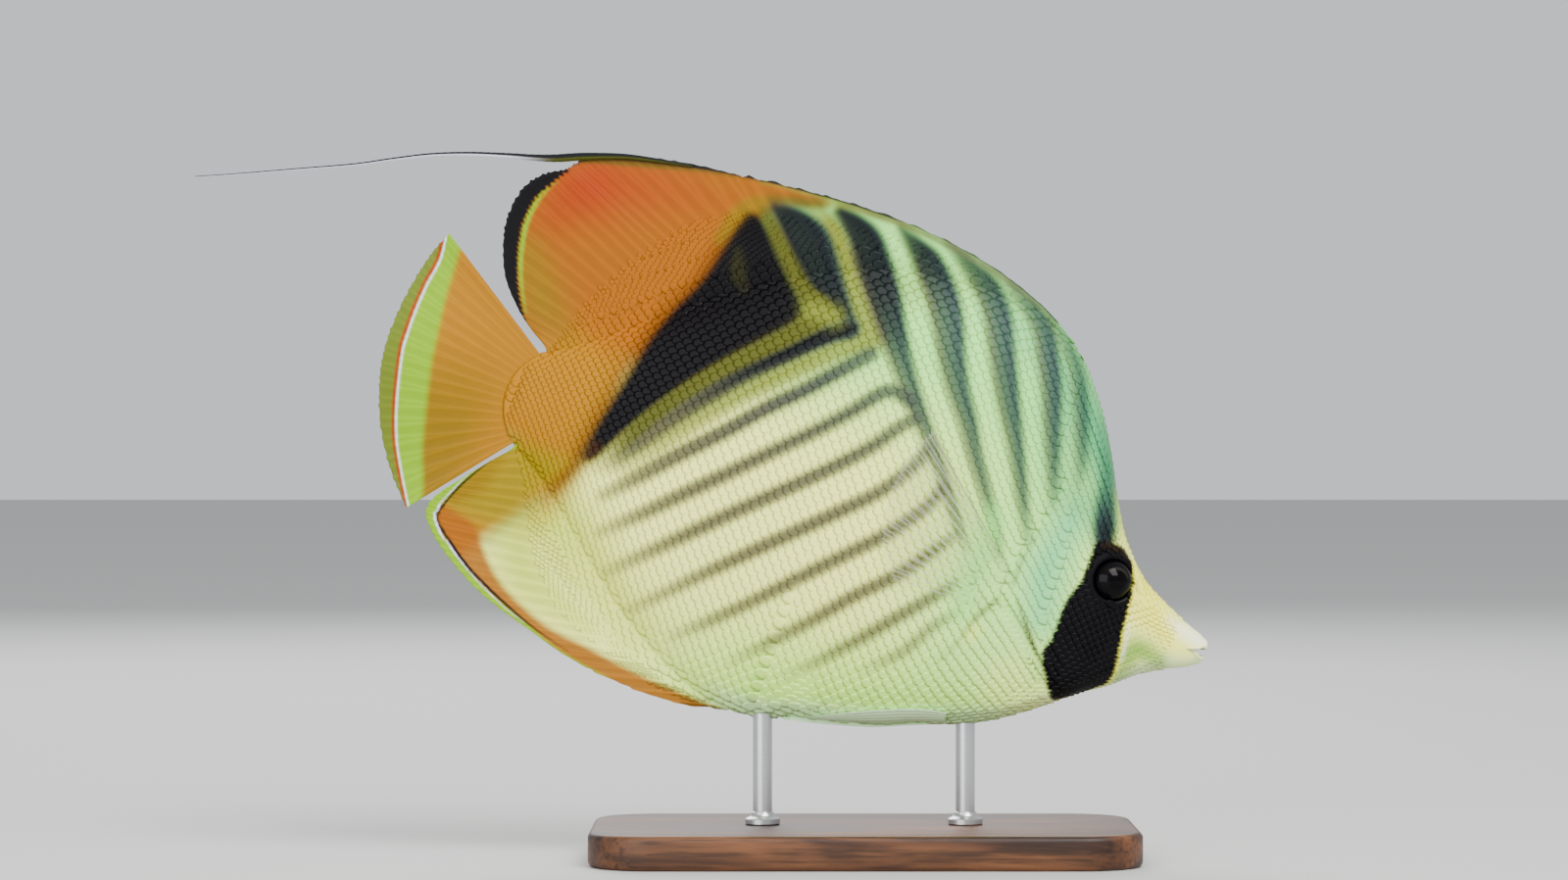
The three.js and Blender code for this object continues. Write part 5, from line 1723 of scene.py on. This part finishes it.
def eye_material():
    """Glossy dark eye under its own painted iris ring and painted glint."""
    material, tree, shader = new_material("Eye")
    pigment = painted(tree, 0.5, 0.12, 0.0)
    join(tree, shader, {
        "Base Color": pigment["Colour"],
        "Roughness": pigment["Roughness"],
        "Specular IOR Level": 0.03,
        "Coat Weight": 0.08,
        "Coat Roughness": 0.05,
    })
    return material


def dress(piece, slot, material, *nodes):
    """Gives a finished piece its material and the root as parent, and hides the CAD nodes it stands for;
    its slot is not used.
    """
    if not piece.data.materials:
        piece.data.materials.append(material)
    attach(piece, "root")
    if nodes:
        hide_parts(*nodes)


def colour_setting(name, about, value):
    """A display colour in the sidebar."""
    return FloatVectorProperty(
        name=name, description=about, default=value, subtype="COLOR_GAMMA", size=3, min=0, max=1,
    )


def length_setting(name, about, value, low):
    """A length in the sidebar."""
    return FloatProperty(
        name=name, description=about, default=value, subtype="DISTANCE", unit="LENGTH", min=low,
    )


class ButterflyfishColours(bpy.types.PropertyGroup):
    """Paint of the markings, as display colours."""

    cream: colour_setting("Cream", "Warm cream of the middle flank", (0.98, 1.0, 0.54))
    green_cream: colour_setting("Green Cream", "Cream towards the back", (0.6, 0.93, 0.48))
    dull_cream: colour_setting("Dull Cream", "Cream of the belly", (0.75, 0.97, 0.42))
    nape: colour_setting("Nape", "Dull green of nape and forehead", (0.3, 0.64, 0.42))
    rear_cream: colour_setting("Rear Cream", "Yellowish cream ahead of the rear", (0.79, 0.85, 0.3))
    dusky: colour_setting("Dusky", "Grey-green of the stripes", (0.17, 0.25, 0.24))
    tan: colour_setting("Tan", "Brownish side of the stripes", (0.36, 0.34, 0.23))
    blue_black: colour_setting("Blue Black", "Darkest stripes and the thread", (0.05, 0.06, 0.07))
    black: colour_setting("Black", "Eye bar, blotch and fin margin", (0.012, 0.004, 0.016))
    olive: colour_setting("Olive", "Band in front of the blotch", (0.3, 0.31, 0.08))
    olive_gold: colour_setting("Olive Gold", "Second band and dull parts of the rear", (0.46, 0.5, 0.16))
    brown: colour_setting("Brown", "Blotch's rear edge", (0.26, 0.14, 0.0))
    gold: colour_setting("Gold", "Tail root", (0.64, 0.42, 0))
    amber: colour_setting("Amber", "Front of the orange rear", (0.6, 0.33, 0.0))
    red_orange: colour_setting("Red Orange", "Upper rear of the soft dorsal fin", (0.61, 0.2, 0.0))
    ochre: colour_setting("Ochre", "Rear lobe of the anal fin", (0.52, 0.39, 0.0))
    lime: colour_setting("Lime", "Bright band of the tail fin and edge of the anal fin", (0.5, 0.68, 0))
    lilac: colour_setting("Lilac White", "Fine pale lines", (0.93, 0.92, 0.98))
    clear_rim: colour_setting("Clear Rim", "Brownish rim of the tail fin", (0.4, 0.46, 0.12))
    # White also paints the highlight on the snout's tip and part of the lighter belly edge.
    white: colour_setting("White", "Lips and snout tip", (1.0, 1.0, 0.95))
    snout_yellow: colour_setting("Snout Yellow", "Forehead and rim of the eye bar", (1, 0.98, 0.3))
    snout_tan: colour_setting("Snout Tan", "Lower snout", (0.48, 0.66, 0.24))
    # Cheek also tints the belly edge green as painted light.
    cheek: colour_setting("Cheek", "Cheek and gill cover", (0.4, 0.8, 0.54))
    # Slit also paints the shade in the gill opening and the painted shadow along the pectoral fin's base.
    slit: colour_setting("Slit", "Gill slit and nostrils", (0.3, 0.22, 0.12))
    pectoral_base: colour_setting("Pectoral Base", "Skin at the pectoral fin's root", (0.58, 0.92, 0.44))
    fin_ray: colour_setting("Fin Ray", "Rays of the paired fins", (0.88, 0.90, 0.80))
    pupil: colour_setting("Pupil", "Eye", (0.015, 0.012, 0.02))
    iris: colour_setting("Iris", "Dark ring round the pupil", (0.06, 0.05, 0.05))
    # Paler crescent on the upper side of the iris: a painted glint.
    iris_glint: colour_setting("Iris Ring", "Paler crescent over the pupil", (0.2, 0.18, 0.16))


class ButterflyfishSurface(bpy.types.PropertyGroup):
    """Coat and fins."""

    body_bump: FloatProperty(
        name="Skin Grain", description="Height of the finest grain in millimetres", default=0.05, min=0,
    )
    unevenness: FloatProperty(
        name="Scale Turn", description="Largest random turn of a scale", default=math.radians(2.6),
        subtype="ANGLE", unit="ROTATION", min=0,
    )
    fin_pitch: length_setting("Fin Scale Pitch", "Distance between the fins' scales", 1.55 * MM, 0.5 * MM)
    seed: IntProperty(name="Seed", description="Starts the coat's random draws", default=11, min=0)


class ButterflyfishStand(bpy.types.PropertyGroup):
    """Display stand."""

    base_edge: length_setting("Edge", "Rounding of the base's edges", 1.2 * MM, 0.1 * MM)
    wood_dark: colour_setting("Dark Wood", "Dark grain of the walnut", (0.17, 0.09, 0.05))
    wood_light: colour_setting("Light Wood", "Light grain of the walnut", (0.42, 0.26, 0.15))
    steel: colour_setting("Steel", "Rods", (0.80, 0.80, 0.81))


class ButterflyfishStage(bpy.types.PropertyGroup):
    """Camera, floor and light."""

    distance: length_setting("Distance", "Camera to the fish's middle plane", 1.0, 0.3)
    view_width: length_setting("View Width", "Width of the picture at the fish", 0.32192, 0.05)
    key_power: FloatProperty(name="Key Light", description="Watts of the key light", default=26.0, min=0)
    fill_power: FloatProperty(name="Fill Light", description="Watts of the fill light", default=13.0, min=0)
    sky: FloatProperty(name="Sky", description="Strength of the surrounding light", default=0.8, min=0)
    floor: colour_setting("Floor", "Plain floor", (0.72, 0.72, 0.71))


def skin_finish():
    """The skin under the scales."""
    return living_material("Skin", 0.08, 0.0)


def scale_finish():
    """The scales, a little darker at their rims."""
    return living_material("Scales", 0.08, 0.05)


class BUTTERFLYFISH_OT_skin(bpy.types.Operator):
    """Build the one skin of head, trunk, tail root and gill covers"""

    bl_idname = "butterflyfish.skin"
    bl_label = "Skin"

    def execute(self, context):
        tones = context.scene.butterflyfish_colours
        piece = build_skin()
        paint_mesh(piece.data, tones)
        shade_mouth(piece.data, tones)
        nodes = ("head", "trunk", "tail_root", "gill_cover_left", "gill_cover_right")
        dress(piece, "skin", skin_finish(), *nodes)
        return {"FINISHED"}


def shade_mouth(mesh, tones):
    """Darkens the hollow behind the lips."""
    places = positions_of(mesh)
    behind, up = to_fish(places)
    inner = skin_half(behind, up) - np.abs(places[:, 1]) / MM
    near = (behind < 4) & (np.abs(up - waist(behind)) < 1.2)
    share = smooth(0.1, 0.5, inner) * near
    colours = np.empty(len(places) * 4, np.float32)
    mesh.attributes["markings"].data.foreach_get("color", colours)
    colours = colours.reshape(-1, 4)[:, :3]
    dark = linear(tones.brown) * 0.3
    store_colour(mesh, "markings", colours * (1 - share[:, None]) + dark * share[:, None])


def off_eye_and_nose(behind, up):
    """Whether places are clear of the eye and the nostrils."""
    clear = np.hypot(behind - EYE_AT[0], up - EYE_AT[1]) * PERCENT > EYE_RADIUS + 0.9
    for b, u, radius in NOSTRILS:
        clear &= np.hypot(behind - b, up - u) * PERCENT > radius + 0.45
    return clear


SIDES = (("left", 1), ("right", -1))
BODY_PARTS = (
    ("head", lambda behind, up: (behind < 27) & off_eye_and_nose(behind, up)),
    ("flank", lambda behind, up: (behind >= 27) & (behind < 58)),
    ("rear", lambda behind, up: behind >= 58),
)


class BUTTERFLYFISH_OT_scales(bpy.types.Operator):
    """Lay the scales of both flanks and of the head over the skin"""

    bl_idname = "butterflyfish.scales"
    bl_label = "Body Scales"

    def execute(self, context):
        for label, side in SIDES:
            seed = context.scene.butterflyfish_surface.seed + (side > 0)
            for part, keep in BODY_PARTS:
                piece = lay_coat(f"scales_{part}_{label}", [body_bed(side, keep, seed)], seed)
                dress(piece, "skin", scale_finish())
        return {"FINISHED"}


def dress_median_fin(context, name, parts, above, rows, slot, cover):
    """A dorsal or anal fin and the scales over its foot on both sides."""
    seed = context.scene.butterflyfish_surface.seed
    piece = median_fin(name, parts, rows, FIN_ROOT_HALF)
    paint_mesh(piece.data, context.scene.butterflyfish_colours)
    dress(piece, slot, living_material("Fin", 0.1, 0.16), slot)
    beds = [fin_bed(parts, side, above, cover, seed) for _, side in SIDES]
    dress(lay_coat(f"{name}_scales", beds, seed), slot, scale_finish())


class BUTTERFLYFISH_OT_dorsal_fin(bpy.types.Operator):
    """Build the dorsal fin with its scaled foot"""

    bl_idname = "butterflyfish.dorsal_fin"
    bl_label = "Dorsal Fin"

    def execute(self, context):
        def cover(behind):
            return 0.62 - 0.3 * smooth(78, 98, behind)

        dress_median_fin(context, "dorsal_plate", DORSAL_PARTS, True, 60, "dorsal_fin", cover)
        return {"FINISHED"}


class BUTTERFLYFISH_OT_anal_fin(bpy.types.Operator):
    """Build the anal fin with its scaled foot"""

    bl_idname = "butterflyfish.anal_fin"
    bl_label = "Anal Fin"

    def execute(self, context):
        def cover(behind):
            return 0.54 - 0.24 * smooth(82, 98, behind)

        dress_median_fin(context, "anal_plate", ANAL_PARTS, False, 64, "anal_fin", cover)
        return {"FINISHED"}


class BUTTERFLYFISH_OT_tail_fin(bpy.types.Operator):
    """Build the tail fin with its branched rays and clear rim"""

    bl_idname = "butterflyfish.tail_fin"
    bl_label = "Tail Fin"

    def execute(self, context):
        piece = median_fin("tail_plate", TAIL_PARTS, 90, 0.75, 0.12)
        paint_mesh(piece.data, context.scene.butterflyfish_colours, "tail")
        dress(piece, "tail_fin", living_material("Tail Fin", 0.1, 0.14), "tail_fin")
        return {"FINISHED"}


class BUTTERFLYFISH_OT_thread(bpy.types.Operator):
    """Build the long thread of the prolonged soft rays"""

    bl_idname = "butterflyfish.thread"
    bl_label = "Dorsal Thread"

    def execute(self, context):
        tones = context.scene.butterflyfish_colours
        piece = build_thread()
        behind, up = to_fish(positions_of(piece.data))
        line = profile([(b, u) for b, u, _ in THREAD])
        lower = smooth(0.05, -0.25, (up - line(behind)) / 0.4)
        far = smooth(108, 116, behind)
        colour = np.tile(linear(tones.blue_black), (len(up), 1))
        under = linear(tones.lilac) * far[:, None] + linear(tones.olive) * (1 - far[:, None])
        colour += (under - colour) * (lower * (0.75 + 0.1 * far))[:, None]
        store_colour(piece.data, "markings", colour)
        dress(piece, "thread", living_material("Thread", 0.2, 0.0, 0.5, 0.0), "dorsal_thread")
        return {"FINISHED"}


class BUTTERFLYFISH_OT_paired_fins(bpy.types.Operator):
    """Build the clear pectoral fins and the folded pelvic fins"""

    bl_idname = "butterflyfish.paired_fins"
    bl_label = "Paired Fins"

    def execute(self, context):
        tones = context.scene.butterflyfish_colours
        clear = living_material("Clear Fin", 0.06, 0.0, 0.35, 0.1, see_through=True)
        white = living_material("Pelvic Fin", 0.1, 0.2, 0.45, 0.05)
        pale = 0.5 * linear(tones.white) + 0.5 * linear(tones.green_cream)
        for label, side in SIDES:
            fin = build_pectoral(side, label)
            paint_pectoral(fin.data, tones)
            dress(fin, "paired_fins", clear, f"pectoral_fin_{label}")
            fin = build_pelvic(side, label)
            store_colour(fin.data, "markings", np.tile(pale, (len(fin.data.vertices), 1)))
            dress(fin, "pelvic_fins", white, f"pelvic_fin_{label}")
        return {"FINISHED"}


def paint_pectoral(mesh, tones):
    """Pale rays in a clear web, the upper one tan, by each vertex's place between root and margin."""
    uv = np.empty(len(mesh.loops) * 2, np.float32)
    mesh.uv_layers[UNWRAP].data.foreach_get("uv", uv)
    vertex = np.empty(len(mesh.loops), np.int32)
    mesh.loops.foreach_get("vertex_index", vertex)
    spot = np.zeros((len(mesh.vertices), 2))
    spot[vertex] = uv.reshape(-1, 2)
    across = np.where(spot[:, 0] > 0.5, spot[:, 0] - OTHER_SIDE, spot[:, 0]) / SHEET[0]
    out = (spot[:, 1] - SHEET_START[1]) / SHEET[1]
    ridge = ray_ridge((across * PECTORAL_RAYS) % 1, out, 1)
    first = smooth(0.07, 0.0, across)
    colour = linear(tones.olive_gold) * (1 - ridge[:, None]) + linear(tones.fin_ray) * ridge[:, None]
    colour += (linear(tones.tan) - colour) * (0.8 * first)[:, None]
    store_colour(mesh, "markings", colour)
    store_float(mesh, "clear", np.clip(0.06 + 0.14 * ridge * (1 - 0.4 * out) + 0.4 * first, 0, 1))


class BUTTERFLYFISH_OT_eyes(bpy.types.Operator):
    """Build the two eyes"""

    bl_idname = "butterflyfish.eyes"
    bl_label = "Eyes"

    def execute(self, context):
        finish = eye_material()
        for label, side in SIDES:
            piece = build_eye(side, label, context.scene.butterflyfish_colours)
            dress(piece, "eye", finish, f"eye_{label}")
        return {"FINISHED"}


class BUTTERFLYFISH_OT_stand(bpy.types.Operator):
    """Build the walnut base and the two steel rods"""

    bl_idname = "butterflyfish.stand"
    bl_label = "Display Stand"

    def execute(self, context):
        look = context.scene.butterflyfish_stand
        dress(build_base(look), "stand_wood", wood_material(look), "stand_base")
        steel = steel_material(look)
        for label, x in (("front", ROD_SPACING / 2), ("rear", -ROD_SPACING / 2)):
            node = f"stand_rod_{label}"
            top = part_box(node)[1].z / MM
            dress(build_rod(label, x, top), "stand_steel", steel, node)
        return {"FINISHED"}


# Where the photo's middle lies beside and above the base's middle, and where the lights point.
PHOTO_MIDDLE = (-16.4 * MM, 85.95 * MM)
LIT_PLACE = Vector((-0.02, 0, 0.08))
FLOOR_REACH = 6.0


class BUTTERFLYFISH_OT_stage(bpy.types.Operator):
    """Set the camera, the plain floor and the soft light"""

    bl_idname = "butterflyfish.stage"
    bl_label = "Stage"

    def execute(self, context):
        look = context.scene.butterflyfish_stage
        scene = context.scene
        camera = link_new("camera", bpy.data.cameras.new("camera"))
        camera.data.sensor_width = 36.0
        camera.data.lens = camera.data.sensor_width * look.distance / look.view_width
        camera.location = (PHOTO_MIDDLE[0], -look.distance, PHOTO_MIDDLE[1])
        camera.rotation_euler = (math.pi / 2, 0, 0)
        scene.camera = camera
        floor_mesh = bpy.data.meshes.new("floor")
        corners = ((-1, -1), (1, -1), (1, 1), (-1, 1))
        corners = [(FLOOR_REACH * x, FLOOR_REACH * y, 0) for x, y in corners]
        floor_mesh.from_pydata(corners, [], [(0, 1, 2, 3)])
        floor = link_new("floor", floor_mesh)
        material, tree, shader = new_material("Floor")
        join(tree, shader, {"Base Color": (*linear(look.floor), 1), "Roughness": 0.8})
        floor_mesh.materials.append(material)
        for name, power, size, place in (
            ("key", look.key_power, 0.7, (0.45, -0.8, 1.0)),
            ("fill", look.fill_power, 0.9, (-0.6, -0.95, 0.25)),
            ("back", look.fill_power, 0.8, (-0.2, 0.9, 0.8)),
        ):
            light = link_new(name, bpy.data.lights.new(name, "AREA"))
            light.data.energy = power
            light.data.size = size
            light.location = place
            aim = LIT_PLACE - light.location
            light.rotation_euler = aim.to_track_quat("-Z", "Y").to_euler()
        world = bpy.data.worlds.new("World")
        scene.world = world
        world.use_nodes = True
        background = world.node_tree.nodes.get("Background")
        background.inputs["Color"].default_value = (0.92, 0.96, 1.0, 1)
        background.inputs["Strength"].default_value = look.sky
        return {"FINISHED"}


class BUTTERFLYFISH_PT_panel(bpy.types.Panel):
    """Steps of the model, in the order they are run"""

    bl_label = "Butterflyfish"
    bl_idname = "BUTTERFLYFISH_PT_panel"
    bl_space_type = "VIEW_3D"
    bl_region_type = "UI"
    bl_category = "Butterflyfish"

    def draw(self, context):
        column = self.layout.column(align=True)
        for step in STEPS:
            column.operator(step.bl_idname)
        for holder in (
            context.scene.butterflyfish_surface,
            context.scene.butterflyfish_stand,
            context.scene.butterflyfish_stage,
            context.scene.butterflyfish_colours,
        ):
            box = self.layout.box()
            for name in holder.__annotations__:
                box.prop(holder, name)


STEPS = (
    BUTTERFLYFISH_OT_skin,
    BUTTERFLYFISH_OT_scales,
    BUTTERFLYFISH_OT_eyes,
    BUTTERFLYFISH_OT_dorsal_fin,
    BUTTERFLYFISH_OT_anal_fin,
    BUTTERFLYFISH_OT_tail_fin,
    BUTTERFLYFISH_OT_thread,
    BUTTERFLYFISH_OT_paired_fins,
    BUTTERFLYFISH_OT_stand,
    BUTTERFLYFISH_OT_stage,
)
SETTINGS = {
    "butterflyfish_colours": ButterflyfishColours,
    "butterflyfish_surface": ButterflyfishSurface,
    "butterflyfish_stand": ButterflyfishStand,
    "butterflyfish_stage": ButterflyfishStage,
}


def register():
    """Adds the settings, the steps and the panel."""
    for group in SETTINGS.values():
        bpy.utils.register_class(group)
    for name, group in SETTINGS.items():
        setattr(bpy.types.Scene, name, PointerProperty(type=group))
    for step in STEPS:
        bpy.utils.register_class(step)
    bpy.utils.register_class(BUTTERFLYFISH_PT_panel)


def unregister():
    """Takes the panel, the steps and the settings away again."""
    bpy.utils.unregister_class(BUTTERFLYFISH_PT_panel)
    for step in reversed(STEPS):
        bpy.utils.unregister_class(step)
    for name in SETTINGS:
        delattr(bpy.types.Scene, name)
    for group in SETTINGS.values():
        bpy.utils.unregister_class(group)


def main():
    """Runs every step."""
    register()
    for step in STEPS:
        family, name = step.bl_idname.split(".")
        getattr(getattr(bpy.ops, family), name)()


if __name__ == "__main__":
    main()
